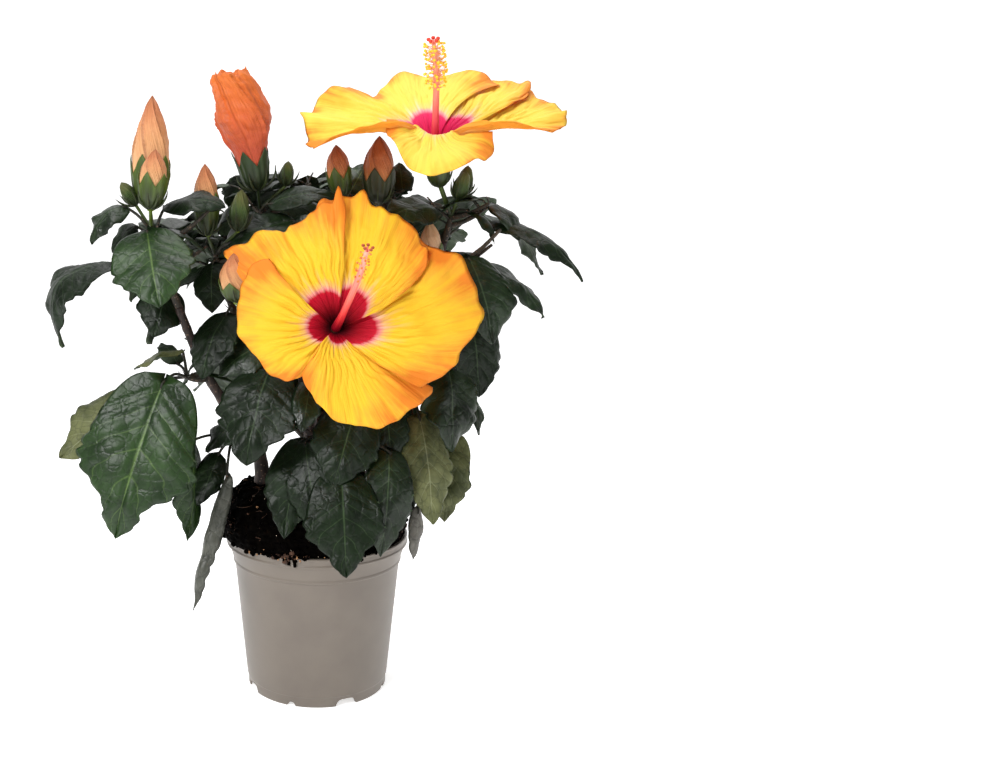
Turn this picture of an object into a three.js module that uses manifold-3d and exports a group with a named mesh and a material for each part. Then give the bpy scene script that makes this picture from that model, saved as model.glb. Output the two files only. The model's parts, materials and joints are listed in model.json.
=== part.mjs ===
// A young hibiscus shrub in its nursery pot: two open blooms, buds of every age and palm-shaped leaves.
// Millimetres, +Z up. The origin is the centre of the pot's flat underside, and the plant's
// showing side looks along -Y.

import * as THREE from 'three';
import { mergeVertices } from 'three/addons/utils/BufferGeometryUtils.js';
import Module from 'manifold-3d';

const wasm = await Module();
wasm.setup();

// Driving dimensions of the pot and its root ball
const potHeight = 113;
const rimRadius = 65;
const rimDepth = 6;
const beadHeight = 95;
const beadRadius = 60.2;
const footRadius = 50.3;
const potWall = 1.4;
const potFloor = 3;
const potSides = 32;
const notchAngles = [-66, -156, 114, 24];
const bigNotch = { wide: 15, high: 5, deep: 7 };
const smallNotch = { wide: 5, high: 3, deep: 5 };
const moundHeight = 153;
const bulge = 6;
const soilSides = 20;

// Driving dimensions of the plant
const gap = 0.3;
const finestEdge = 0.12;
const rimReach = 0.03;
const stemFoot = 148.5;
const bladeThickness = 1.2;
const bladeSteps = 6;
const seededSteps = 4;
const petalThickness = 1.3;
const petalOverlap = 4;
const petalRuffle = 3;
const rootSpread = 44;
const petalSteps = 5;
const petalStrips = 6;
const petioleRadius = 1.2;
const budSides = 6;
const goldenAngle = 137.5;
const leafRoom = 8;
const leafTries = 16;
const seed = 11;

// The sky that shows through and round the crown, seen from the viewer's place in front of it: each
// opening is a range of x and a range of z in the upright plane through the origin.
const viewer = { away: 800, height: 370 };
const openings = [
  [-400, -165, 0, 500], [-400, -136, 318, 500], [-400, -130, 212, 280], [-133, -97, 223, 253],
  [-400, -60, 0, 136], [-93, -66, 268, 282], [-400, 400, 368, 500], [141, 400, 0, 248],
  [100, 126, 310, 334], [109, 400, 0, 169], [-83, -71, 180, 212], [129, 400, 340, 500],
  [165, 400, 0, 500], [85, 400, 0, 115],
];

const colours = {
  pot: 0x9a9389, soil: 0x1d130e, bark: 0x3a2c22, leaf: 0x24402c, petal: 0xfbb52a, topPetal: 0xffdc3c,
  bud: 0xe08a4e, budGreen: 0x4d6b2a,
};

// Small helpers

const degrees = Math.PI / 180;

function v3(p) {
  return new THREE.Vector3(p[0], p[1], p[2]);
}

function seededDraws(start) {
  let state = start;
  return () => {
    state = (state * 1664525 + 1013904223) % 4294967296;
    return state / 4294967296;
  };
}

// A solid from a list of points and a list of triangles that index them.
function solidFrom(points, triangles) {
  const mesh = new wasm.Mesh({
    numProp: 3,
    vertProperties: Float32Array.from(points.flatMap((p) => [p.x, p.y, p.z])),
    triVerts: Uint32Array.from(triangles.flat()),
  });
  return new wasm.Manifold(mesh);
}

function solidFromGeometry(geometry) {
  geometry.deleteAttribute('normal');
  geometry.deleteAttribute('uv');
  const merged = mergeVertices(geometry, 1e-4);
  const mesh = new wasm.Mesh({
    numProp: 3,
    vertProperties: Float32Array.from(merged.attributes.position.array),
    triVerts: Uint32Array.from(merged.index.array),
  });
  return new wasm.Manifold(mesh);
}

function geometryFrom(solid) {
  const mesh = solid.getMesh();
  const geometry = new THREE.BufferGeometry();
  geometry.setAttribute('position', new THREE.BufferAttribute(Float32Array.from(mesh.vertProperties), 3));
  geometry.setIndex([...mesh.triVerts]);
  geometry.computeVertexNormals();
  return geometry;
}

function box(width, depth, height) {
  return new THREE.BoxGeometry(width, depth, height);
}

function union(solids) {
  return solids.reduce((all, solid) => all.add(solid));
}

// Keeps the largest outer body: loose scraps go, and a sealed hollow is filled. Slivers narrower
// than the finest edge are closed up.
function mainBody(solid) {
  const bodies = solid.asOriginal().simplify(finestEdge).decompose();
  return bodies.reduce((best, body) => (body.volume() > best.volume() ? body : best));
}

// A smooth path through points, with a radius at each of them.
function smoothPath(points, radii) {
  const curve = new THREE.CatmullRomCurve3(points.map(v3), false, 'catmullrom', 0.5);
  const last = points.length - 1;
  return {
    at: (share) => curve.getPoint(share),
    along: (share) => curve.getTangent(share),
    radius: (share) => {
      const place = Math.min(share * last, last - 1e-9);
      const k = Math.floor(place);
      return radii[k] + (radii[k + 1] - radii[k]) * (place - k);
    },
  };
}

// A tapering tube along a path: one ring of corners for each step, closed by a flat fan at each end.
function tube(path, sides, steps, extra = 0) {
  const lean = path.at(1).sub(path.at(0));
  const upright = Math.abs(lean.z) > Math.hypot(lean.x, lean.y);
  const reference = upright ? new THREE.Vector3(0, 1, 0) : new THREE.Vector3(0, 0, 1);
  const points = [];
  for (let i = 0; i <= steps; i += 1) {
    const along = path.along(i / steps);
    const side = new THREE.Vector3().crossVectors(reference, along).normalize();
    const other = new THREE.Vector3().crossVectors(along, side);
    const radius = path.radius(i / steps) + extra;
    for (let j = 0; j < sides; j += 1) {
      const turn = (2 * Math.PI * j) / sides;
      points.push(path.at(i / steps)
        .addScaledVector(side, radius * Math.cos(turn))
        .addScaledVector(other, radius * Math.sin(turn)));
    }
  }
  const triangles = [];
  for (let i = 0; i < steps; i += 1) {
    for (let j = 0; j < sides; j += 1) {
      const a = i * sides + j;
      const b = i * sides + ((j + 1) % sides);
      triangles.push([a, b, b + sides], [a, b + sides, a + sides]);
    }
  }
  const end = steps * sides;
  for (let j = 1; j < sides - 1; j += 1) {
    triangles.push([0, j + 1, j], [end, end + j, end + j + 1]);
  }
  return solidFrom(points, triangles);
}

// A thin closed blade over a surface: the rim is one line of corners, and inside it every corner
// is there twice, half the thickness to either side. Diagonals run to the inner corners. The
// grown form, which cuts a gap round a blade, reaches a little past the rim and has walls there.
function sheet(surface, thickness, alongSteps, acrossSteps, grown = 0) {
  const points = [];
  const top = [];
  const bottom = [];
  const past = grown > 0 ? rimReach : 0;
  const half = thickness / 2 + grown;
  for (let i = 0; i <= alongSteps; i += 1) {
    top.push([]);
    bottom.push([]);
    for (let j = 0; j <= acrossSteps; j += 1) {
      const share = pastEnds(i / alongSteps, past);
      const across = 2 * pastEnds(j / acrossSteps, past) - 1;
      const { point, normal } = surface(share, across);
      const onRim = i === 0 || i === alongSteps || j === 0 || j === acrossSteps;
      const single = onRim && grown === 0;
      top[i].push(points.length);
      points.push(point.clone().addScaledVector(normal, single ? 0 : half));
      bottom[i].push(single ? points.length - 1 : points.length);
      if (!single) {
        points.push(point.clone().addScaledVector(normal, -half));
      }
    }
  }
  const triangles = [];
  for (let i = 0; i < alongSteps; i += 1) {
    for (let j = 0; j < acrossSteps; j += 1) {
      const even = (i < alongSteps / 2) === (j < acrossSteps / 2);
      for (const [layer, flip] of [[top, false], [bottom, true]]) {
        const a = layer[i][j];
        const b = layer[i + 1][j];
        const c = layer[i + 1][j + 1];
        const d = layer[i][j + 1];
        const pair = even ? [[a, b, c], [a, c, d]] : [[a, b, d], [b, c, d]];
        pair.forEach(([p, q, r]) => triangles.push(flip ? [p, r, q] : [p, q, r]));
      }
    }
  }
  if (grown > 0) {
    const rim = rimCells(alongSteps, acrossSteps);
    rim.forEach(([i, j], k) => {
      const [nextI, nextJ] = rim[(k + 1) % rim.length];
      const p = [top[i][j], bottom[i][j]];
      const q = [top[nextI][nextJ], bottom[nextI][nextJ]];
      triangles.push([q[0], p[0], p[1]], [q[0], p[1], q[1]]);
    });
  }
  return solidFrom(points, triangles);
}

function pastEnds(share, past) {
  if (share === 0) {
    return -past;
  }
  return share === 1 ? 1 + past : share;
}

// The grid's rim, once round.
function rimCells(alongSteps, acrossSteps) {
  const cells = [];
  for (let i = 0; i < alongSteps; i += 1) {
    cells.push([i, 0]);
  }
  for (let j = 0; j < acrossSteps; j += 1) {
    cells.push([alongSteps, j]);
  }
  for (let i = alongSteps; i > 0; i -= 1) {
    cells.push([i, acrossSteps]);
  }
  for (let j = acrossSteps; j > 0; j -= 1) {
    cells.push([0, j]);
  }
  return cells;
}

// Leaves

// Half the blade's width at a share of its length, as a share of the widest: round at the base,
// widest at a third and drawn out to the tip, with coarse teeth on its outer half.
const outlinePeak = 0.373;

function bladeOutline(place, steps) {
  const share = THREE.MathUtils.clamp(place, 0, 1);
  const plain = (share ** 0.55 * (1 - share) ** 0.95) / outlinePeak;
  const tooth = share > 0.4 ? 1 + 0.08 * (Math.round(share * steps) % 2 === 0 ? 1 : -1) : 1;
  return Math.max(plain * tooth, 0.05);
}

// A leaf is given by the two ends of its blade, its width, the way its upper face looks, how far
// it arches and how far its halves fold down, both as shares of its size, and the share of the
// stem at which its stalk springs.
function leaf(base, tip, wide, face, arch, fold, root, steps = bladeSteps) {
  const from = v3(base);
  const to = v3(tip);
  const chord = to.clone().sub(from);
  const length = chord.length();
  const side = new THREE.Vector3().crossVectors(v3(face), chord).normalize();
  const up = new THREE.Vector3().crossVectors(chord, side).normalize();
  const middle = from.clone().add(to).multiplyScalar(0.5).addScaledVector(up, 2 * arch * length);
  const rib = new THREE.QuadraticBezierCurve3(from, middle, to);
  const surface = (share, across) => {
    const half = (wide / 2) * bladeOutline(share, steps);
    const along = rib.getTangent(THREE.MathUtils.clamp(share, 0, 1));
    const normal = new THREE.Vector3().crossVectors(along, side);
    const point = rib.getPoint(share)
      .addScaledVector(side, half * across)
      .addScaledVector(normal, -fold * half * Math.abs(across));
    return { point, normal };
  };
  return { base, root: Math.min(root, 0.95), rib, surface, steps };
}

function stalk(stem, blade) {
  const from = stem.at(blade.root);
  const to = v3(blade.base);
  const bend = from.clone().add(to).multiplyScalar(0.5);
  bend.z += 0.12 * from.distanceTo(to);
  const sunk = blade.rib.getPoint(0.12);
  const points = [from, bend, to, sunk].map((p) => [p.x, p.y, p.z]);
  return smoothPath(points, [petioleRadius, petioleRadius, petioleRadius * 0.9, petioleRadius * 0.5]);
}

function leafSolids(stem, blade, extra = 0) {
  return [
    sheet(blade.surface, bladeThickness, blade.steps, 2, extra),
    tube(stalk(stem, blade), 3, 3, extra),
  ];
}

// Points spread over a blade, to tell whether another one comes too near.
function probes(surface) {
  const found = [];
  for (const share of [0.1, 0.3, 0.5, 0.7, 0.9]) {
    for (const across of [-0.85, 0, 0.85]) {
      found.push(surface(share, across).point);
    }
  }
  return found;
}

// Blooms

// A bloom is five petals round an axis, each with one edge over its neighbour. They spring evenly
// from the throat, rise out of it as a funnel and spread to their own turns in degrees, where the
// margin runs through five reaches from one edge of the petal to the other.
function petalSurface(bloom, petal) {
  const axis = v3(bloom.axis).normalize();
  const right = new THREE.Vector3(1, 0, 0).addScaledVector(axis, -axis.x).normalize();
  const back = new THREE.Vector3().crossVectors(axis, right);
  const rim = new THREE.CatmullRomCurve3(petal.reaches.map((reach) => v3([reach, 0, 0])), false,
    'catmullrom', 0.5);
  const outAt = (turn) => right.clone()
    .multiplyScalar(Math.cos(turn))
    .addScaledVector(back, Math.sin(turn));
  const place = (share, across) => {
    const middle = petal.root + share * (petal.turn - petal.root);
    const spread = (rootSpread + share * (petal.spread - rootSpread))
      * (1 - petal.waist * Math.sin(Math.PI * share));
    const turn = (middle + across * spread) * degrees;
    const wave = Math.sin(bloom.waves * across * 3 + petal.phase);
    const reach = rim.getPoint(THREE.MathUtils.clamp((across + 1) / 2, 0, 1)).x;
    const bow = 2 * share * (1 - share);
    const outward = 3 * (1 - share) ** 2 + bow * bloom.throat[0] + share ** 2 * reach;
    const height = bow * bloom.throat[1] + share ** 2 * (bloom.spreadHeight + petal.lift)
      - petalOverlap * across * share + petalRuffle * wave * share ** 3;
    return v3(bloom.throatBase).addScaledVector(outAt(turn), outward).addScaledVector(axis, height);
  };
  return (share, across) => {
    const step = 0.01;
    const low = place(share - step, across);
    const high = place(share + step, across);
    const left = place(share, across - step);
    const other = place(share, across + step);
    const normal = new THREE.Vector3().crossVectors(high.sub(low), other.sub(left)).normalize();
    return { point: place(share, across), normal };
  };
}

function columnPath(bloom) {
  const thick = bloom.columnRadius;
  return smoothPath(bloom.column, bloom.column.map((_, k) => thick * (k === 0 ? 1.6 : 1)));
}

function bloomSolids(bloom, extra = 0) {
  const petals = bloom.petals.map((petal) => sheet(petalSurface(bloom, petal), petalThickness,
    petalSteps, petalStrips, extra));
  const column = tube(columnPath(bloom), 6, 5, extra);
  const tip = new THREE.IcosahedronGeometry(bloom.columnRadius * 2 + extra, 0);
  tip.translate(...bloom.column.at(-1));
  const cup = tube(smoothPath(bloom.calyx, bloom.calyxRadii), 8, 4, extra);
  const stalkPath = smoothPath([bloom.stalkFrom, bloom.calyx[0]], [1.9, 1.8]);
  return [...petals, column, solidFromGeometry(tip), cup, tube(stalkPath, 5, 2, extra)];
}

// Petals from clockwise edge to counterclockwise edge, the first one rooted at the start turn.
function petalsOf(start, rows) {
  return rows.map(({ turn, spread, reaches, lift = 0, waist = 0 }, k) => (
    { turn, spread, reaches, lift, waist, root: start - 72 * k, phase: 1.7 * k }));
}

const blooms = {
  bloom_front: {
    throatBase: [12, -58, 262],
    axis: [0.06, -0.9, 0.42],
    throat: [20, 34],
    spreadHeight: 18,
    waves: 2.2,
    columnRadius: 2,
    column: [[12, -58, 262], [17, -76, 281], [25, -94, 303], [31, -104, 325]],
    calyx: [[8, -36, 236], [9, -44, 246], [11, -52, 256], [12.5, -62, 264]],
    calyxRadii: [1.8, 6.5, 8, 5],
    stalkFrom: [4, -26, 223],
    petals: petalsOf(126, [
      { turn: 119, spread: 32, reaches: [84, 79, 76, 83, 82] },
      { turn: 66, spread: 34, reaches: [68, 85, 85, 93, 90] },
      { turn: 8, spread: 44, reaches: [64, 79, 94, 93, 86] },
      { turn: -78, spread: 48, reaches: [37, 54, 64, 70, 72] },
      { turn: -173, spread: 52, reaches: [72, 65, 62, 51, 38] },
    ]),
    colour: 'petal',
  },
  bloom_top: {
    throatBase: [79, -10, 381],
    axis: [-0.02, -0.42, 0.9],
    throat: [22, 26],
    spreadHeight: 16,
    waves: 2.6,
    columnRadius: 2,
    column: [[79, -10, 381], [78, -21, 404], [77, -32, 428], [76, -42, 451]],
    calyx: [[84, -3, 358], [82, -5, 366], [80, -8, 374], [79, -11, 384]],
    calyxRadii: [1.8, 6.5, 8, 5],
    stalkFrom: [93, 6, 337],
    petals: petalsOf(110, [
      { turn: 93, spread: 42, reaches: [80, 88, 93, 80, 64], lift: 5 },
      { turn: 66, spread: 34, reaches: [82, 102, 80, 78, 74], lift: 4 },
      { turn: 18, spread: 38, reaches: [74, 84, 94, 95, 88], lift: 1, waist: 0.25 },
      { turn: -97, spread: 72, reaches: [34, 42, 62, 51, 39], lift: -4 },
      { turn: -200, spread: 34, reaches: [86, 90, 90, 88, 86], waist: 0.2 },
    ]),
    colour: 'topPetal',
  },
};

// Buds

// A bud is one turned form along its axis: the stalk, the calyx that swells out of it, and the
// furled petals that stand out of the calyx and close to a point.
const cupProfile = [[0, 0.5], [0.12, 0.92], [0.34, 1.06], [1, 1]];
const furledProfile = [[0.06, 0.98], [0.45, 0.78], [0.78, 0.4], [1, 0.08]];

function budPath(bud) {
  const from = v3(bud.base);
  const to = v3(bud.tip);
  const onAxis = (share) => {
    const p = from.clone().lerp(to, share);
    return [p.x, p.y, p.z];
  };
  const cup = cupProfile.map(([share, girth]) => [share * bud.calyx, girth]);
  const furled = (bud.furled ?? furledProfile)
    .map(([share, girth]) => [bud.calyx + share * (1 - bud.calyx), girth]);
  const rings = [...cup, ...furled];
  const stalkPoints = [bud.from, ...(bud.via ?? [])];
  const points = [...stalkPoints, ...rings.map(([share]) => onAxis(share))];
  const girths = rings.map(([, girth]) => (girth * bud.wide) / 2);
  const radii = [...stalkPoints.map(() => petioleRadius * 1.1), ...girths];
  return smoothPath(points, radii);
}

function budSolids(bud, extra = 0) {
  return [tube(budPath(bud), budSides, 9 + (bud.via ?? []).length - 1, extra)];
}

const buds = {
  bud_tall: {
    base: [-111, -26, 345], tip: [-108, -22, 417], wide: 24, calyx: 0.42, from: [-109, -26, 328],
  },
  bud_second: {
    base: [-108, -45, 344], tip: [-104, -42, 382], wide: 17, calyx: 0.55,
    from: [-109, -26, 328], via: [[-109, -37, 334]],
  },
  bud_small: { base: [-75, -5, 325], tip: [-76, -5, 373], wide: 16, calyx: 0.55, from: [-71, 1, 312] },
  bud_green: { base: [-56, -8, 332], tip: [-53, -8, 356], wide: 10, calyx: 0.8, from: [-70, 2, 313] },
  bud_opening: {
    base: [-41, 10, 355], tip: [-55, 0, 435], wide: 26, calyx: 0.32, from: [-40, 18, 341],
    furled: [[0.06, 1.02], [0.4, 1.4], [0.72, 1.2], [1, 0.7]],
  },
  bud_red: { base: [17, 15, 350], tip: [13, 12, 386], wide: 16, calyx: 0.55, from: [31, 25, 338] },
  bud_dark: { base: [43, 15, 346], tip: [43, 12, 392], wide: 21, calyx: 0.5, from: [33, 25, 340] },
  bud_behind: { base: [80, -6, 302], tip: [76, -10, 335], wide: 14, calyx: 0.5, from: [86, 9, 312] },
  bud_side: {
    base: [-52, -45, 284], tip: [-54, -52, 316], wide: 20, calyx: 0.45,
    from: [-57, 2, 268], via: [[-54, -20, 270]],
  },
};

// Limbs: the trunk from its cut at the soil to its fork, the second stem and the boughs

const fork = [-4, 9, 186];
const limbs = {
  trunk: { points: [[-7, 4, 146], [-7, 5, 156], [-5, 8, 170], fork], radii: [10, 6.4, 5.4, 5], sides: 10 },
  stem_left: {
    points: [
      [-38, -2, 146], [-43, -4, 177], [-57, -8, 197], [-75, -14, 227], [-87, -18, 257], [-94, -20, 277],
    ],
    radii: [6, 4.2, 3.8, 3.4, 3, 2.8],
  },
  bough_inner: { points: [fork, [-30, 6, 215], [-50, 2, 248], [-57, 2, 268]], radii: [3.8, 3.4, 3, 2.7] },
  bough_centre: { points: [fork, [-14, 22, 240], [-28, 24, 290], [-36, 21, 318]], radii: [4, 3.6, 3, 2.7] },
  bough_middle: { points: [fork, [8, 28, 240], [20, 32, 290], [27, 29, 318]], radii: [4, 3.6, 3, 2.7] },
  bough_right: {
    points: [fork, [26, 14, 212], [58, 14, 252], [80, 11, 292], [88, 8, 320]], radii: [4.4, 4, 3.6, 3.2, 3],
  },
  bough_front: { points: [fork, [-2, -12, 206], [4, -26, 224]], radii: [3.6, 3, 2.6] },
  bough_back_left: { points: [fork, [-28, 48, 222], [-56, 76, 262]], radii: [4, 3.4, 2.8] },
  bough_back_right: { points: [fork, [28, 52, 226], [58, 80, 268]], radii: [4, 3.4, 2.8] },
  bough_back: { points: [fork, [2, 54, 240], [6, 78, 290]], radii: [4, 3.4, 2.8] },
};

// Masses of foliage: the stem each one grows on, its measured leaves, and how many more
// twigs and leaves the seeded rule adds inside its own space, an ellipsoid about its middle.

const masses = {
  foliage_left_tip: {
    stem: [[-94, -20, 277], [-103, -23, 304], [-109, -26, 328]],
    leaves: [
      leaf([-135, -34, 309], [-167, -50, 254], 38, [-0.85, -0.3, 0.5], 0.3, 0.35, 0.4),
      leaf([-111, -42, 330], [-99, -80, 284], 52, [0, -0.8, 0.5], 0.08, 0.2, 0.9),
      leaf([-103, -6, 290], [-111, -26, 257], 32, [0.2, -0.9, 0.3], 0.12, 0.3, 0.5),
      leaf([-126, -33, 345], [-146, -43, 321], 20, [-0.6, -0.2, 0.8], 0.26, 0.3, 0.9),
      leaf([-121, -24, 332], [-138, -20, 314], 22, [-0.5, -0.7, 0.5], 0.1, 0.3, 0.8),
      leaf([-101, -18, 346], [-60, -34, 345], 26, [0, -0.5, 0.85], 0.12, 0.3, 0.97),
    ],
    buds: [
      { base: [-120, -28, 346], tip: [-129, -30, 361], wide: 9, calyx: 0.8, from: [-109, -26, 328] },
    ],
    space: { middle: [-115, 20, 305], radii: [70, 80, 60] }, twigs: 2, fill: 3, facing: 100,
  },
  foliage_left_low: {
    stem: [[-75, -14, 227], [-84, -22, 228], [-90, -24, 230]],
    leaves: [
      leaf([-102, -50, 231], [-132, -82, 133], 76, [-0.1, -0.9, 0.35], 0.08, 0.12, 1),
      leaf([-92, -22, 248], [-122, -42, 238], 22, [-0.2, 0.1, 0.9], 0.1, 0.3, 0.9),
      leaf([-97, -12, 237], [-111, 12, 248], 16, [0.3, -0.6, 0.7], 0.1, 0.3, 0.8),
      leaf([-128, -18, 212], [-177, -22, 172], 40, [0, -0.8, 0.6], 0.08, 0.2, 1),
    ],
    space: { middle: [-105, 20, 200], radii: [70, 70, 60] }, twigs: 2, fill: 3, facing: 140,
  },
  foliage_left_foot: {
    stem: [[-50, -6, 187], [-56, -14, 186], [-60, -20, 184]],
    leaves: [
      leaf([-86, -30, 186], [-88, -44, 119], 26, [0.7, -0.6, 0.2], 0.06, 0.5, 0.8),
      leaf([-51, -22, 199], [-75, -34, 179], 24, [-0.3, -0.5, 0.8], 0.14, 0.2, 0.5),
      leaf([-68, -26, 176], [-82, -40, 143], 20, [0.2, -0.9, 0.3], 0.1, 0.3, 1),
      leaf([-62, -40, 162], [-83, -66, 78], 24, [-0.6, -0.7, 0.2], 0.06, 0.9, 0.9),
    ],
    space: { middle: [-60, 10, 170], radii: [50, 50, 40] }, twigs: 0, fill: 0, facing: 180,
  },
  foliage_inner: {
    stem: [[-57, 2, 268], [-65, 2, 292], [-71, 2, 313]],
    leaves: [
      leaf([-72, -2, 306], [-72, -12, 272], 26, [-0.2, -0.9, 0.3], 0.1, 0.3, 0.9),
      leaf([-62, -18, 272], [-77, -42, 231], 34, [-0.4, -0.8, 0.4], 0.1, 0.2, 0.1),
      leaf([-60, -6, 320], [-15, 6, 334], 34, [-0.1, -0.6, 0.8], 0.1, 0.1, 0.95),
    ],
    space: { middle: [-70, 40, 290], radii: [60, 60, 60] }, twigs: 2, fill: 3, facing: 110,
  },
  foliage_centre_top: {
    stem: [[-36, 21, 318], [-39, 19, 331], [-40, 18, 342]],
    leaves: [
      leaf([-32, 8, 346], [16, 6, 350], 26, [0, -0.5, 0.85], 0.12, 0.2, 0.9),
      leaf([-30, 12, 330], [2, -4, 326], 30, [0.1, -0.6, 0.7], 0.1, 0.2, 0.5),
    ],
    buds: [
      { base: [-22, 20, 358], tip: [-20, 20, 375], wide: 9, calyx: 0.8, from: [-40, 18, 342] },
    ],
    space: { middle: [-35, 60, 330], radii: [60, 60, 50] }, twigs: 1, fill: 3, facing: 90,
  },
  foliage_middle_top: {
    stem: [[27, 29, 318], [30, 27, 329], [33, 25, 340]],
    leaves: [
      leaf([23, 28, 352], [35, 48, 372], 30, [0.2, -0.8, 0.6], 0.06, 0.2, 0.95),
      leaf([60, 20, 354], [58, 34, 374], 18, [0.1, -0.9, 0.3], 0.06, 0.2, 0.95),
      leaf([22, 12, 330], [8, -8, 318], 28, [-0.2, -0.7, 0.6], 0.1, 0.2, 0.5),
    ],
    space: { middle: [30, 70, 325], radii: [60, 60, 50] }, twigs: 1, fill: 3, facing: 80,
  },
  foliage_right_top: {
    stem: [[88, 8, 320], [91, 7, 330], [93, 6, 340]],
    leaves: [
      leaf([118, 4, 334], [178, -22, 294], 26, [0.4, -0.45, 0.8], 0.16, 0.3, 0.9),
      leaf([104, -6, 341], [119, -20, 320], 14, [0.5, -0.3, 0.8], 0.2, 0.4, 0.95),
      leaf([80, -8, 344], [44, -34, 336], 32, [0, -0.6, 0.75], 0.1, 0.2, 0.9),
      leaf([80, 18, 346], [48, 32, 344], 24, [0, -0.3, 0.9], 0.1, 0.2, 0.9),
    ],
    buds: [
      { base: [96, -2, 350], tip: [101, -8, 368], wide: 10, calyx: 0.8, from: [92, 6.5, 334] },
      { base: [101, 8, 352], tip: [104, 8, 372], wide: 10, calyx: 0.8, from: [92, 7, 336] },
    ],
    space: { middle: [110, 45, 325], radii: [65, 70, 50] }, twigs: 2, fill: 3, facing: 60,
  },
  foliage_right_side: {
    stem: [[80, 11, 292], [91, 2, 300], [98, -6, 306]],
    leaves: [
      leaf([102, -24, 311], [115, -52, 256], 46, [0.3, -0.85, 0.4], 0.1, 0.15, 0.95),
      leaf([114, -12, 306], [152, -30, 271], 26, [0.3, -0.3, 0.85], 0.12, 0.25, 0.95),
      leaf([106, 2, 268], [112, -18, 214], 42, [0.4, -0.8, 0.3], 0.1, 0.2, 0.5),
    ],
    space: { middle: [110, 40, 275], radii: [60, 75, 60] }, twigs: 2, fill: 3, facing: 40,
  },
  foliage_right_low: {
    stem: [[38, 15, 226], [52, 4, 222], [66, -4, 220]],
    leaves: [
      leaf([70, -28, 203], [78, -54, 134], 36, [0.2, -0.9, 0.3], 0.08, 0.35, 0.9),
      leaf([94, -12, 186], [88, -30, 128], 32, [-0.4, -0.85, 0.2], 0.08, 0.35, 1),
      leaf([58, -26, 188], [66, -36, 138], 26, [0.2, -0.9, 0.2], 0.08, 0.3, 0.7),
      leaf([90, -20, 236], [90, -44, 182], 40, [0.3, -0.85, 0.4], 0.1, 0.2, 1),
    ],
    space: { middle: [80, 35, 205], radii: [60, 65, 60] }, twigs: 2, fill: 3, facing: 40,
  },
  foliage_front: {
    stem: [[4, -26, 224], [-4, -30, 232], [-12, -32, 238]],
    leaves: [
      leaf([-32, -46, 238], [-46, -74, 180], 52, [-0.2, -0.85, 0.45], 0.1, 0.12, 1),
      leaf([-36, -28, 254], [-66, -36, 232], 34, [-0.3, -0.7, 0.6], 0.1, 0.2, 1),
      leaf([-5, -56, 232], [-10, -74, 202], 20, [0.2, -0.9, 0.2], 0.08, 0.3, 0.6),
      leaf([26, -44, 214], [10, -70, 164], 44, [0.1, -0.85, 0.4], 0.08, 0.15, 0.2),
    ],
    space: { middle: [0, -20, 230], radii: [40, 30, 30] }, twigs: 0, fill: 0, facing: -90,
  },
  foliage_front_low: {
    stem: [[-5, 8, 172], [6, -20, 184], [14, -36, 190]],
    leaves: [
      leaf([-10, -44, 190], [-22, -70, 130], 36, [-0.1, -0.9, 0.4], 0.1, 0.15, 0.8),
      leaf([16, -64, 172], [19, -90, 110], 58, [0, -0.9, 0.4], 0.1, 0.12, 1),
      leaf([48, -50, 184], [42, -74, 118], 34, [0.2, -0.9, 0.4], 0.1, 0.15, 0.9),
    ],
    space: { middle: [10, -40, 170], radii: [40, 30, 30] }, twigs: 0, fill: 0, facing: -90,
  },
  foliage_back_left: {
    stem: [[-56, 76, 262], [-66, 86, 288], [-72, 92, 312]],
    leaves: [], space: { middle: [-85, 95, 275], radii: [90, 85, 90] }, twigs: 4, fill: 3, facing: 130,
  },
  foliage_back_right: {
    stem: [[58, 80, 268], [70, 90, 292], [76, 96, 316]],
    leaves: [], space: { middle: [90, 95, 275], radii: [90, 85, 90] }, twigs: 4, fill: 3, facing: 50,
  },
  foliage_back_top: {
    stem: [[6, 78, 290], [8, 88, 318], [8, 92, 344]],
    leaves: [], space: { middle: [5, 100, 310], radii: [80, 80, 80] }, twigs: 4, fill: 3, facing: 90,
  },
  foliage_back_low_left: {
    stem: [[-5, 8, 176], [-28, 42, 192], [-48, 66, 204]],
    leaves: [], space: { middle: [-55, 85, 185], radii: [80, 75, 65] }, twigs: 3, fill: 3, facing: 140,
  },
  foliage_back_low_right: {
    stem: [[-5, 8, 180], [26, 40, 196], [46, 64, 208]],
    leaves: [], space: { middle: [60, 80, 190], radii: [80, 75, 65] }, twigs: 3, fill: 3, facing: 40,
  },
};

// The seeded rule: twigs rise from the stem at golden-angle turns, and on the stem and on each twig
// leaves do the same, their blades drooping outwards. A leaf is kept only where it stays inside the
// mass's space and its probes keep clear of everything that already stands.

function inSpace(space, point) {
  const off = point.clone().sub(v3(space.middle));
  return (off.x / space.radii[0]) ** 2 + (off.y / space.radii[1]) ** 2 + (off.z / space.radii[2]) ** 2 < 1;
}

function showsInOpening(point) {
  const scale = viewer.away / (viewer.away + point.y);
  const x = point.x * scale;
  const z = viewer.height + (point.z - viewer.height) * scale;
  return openings.some(([left, right, low, high]) => x > left && x < right && z > low && z < high);
}

function isClear(points, standing, room) {
  return points.every((point) => standing.every((other) => point.distanceTo(other) > room));
}

function seededTwig(stem, mass, k, draw) {
  const share = 0.35 + (0.6 * (k + 0.5)) / mass.twigs;
  const turn = (mass.facing + 90 * Math.sin(goldenAngle * (k + 1)) + 40 * (draw() - 0.5)) * degrees;
  const length = 30 + 18 * draw();
  const from = stem.at(share);
  const out = new THREE.Vector3(Math.cos(turn), Math.sin(turn), 0.25 + 0.5 * draw()).normalize();
  const half = from.clone().addScaledVector(out, length * 0.5);
  half.z -= length * 0.06;
  const end = from.clone().addScaledVector(out, length);
  return smoothPath([from, half, end].map((p) => [p.x, p.y, p.z]), [1.9, 1.7, 1.4]);
}

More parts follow.
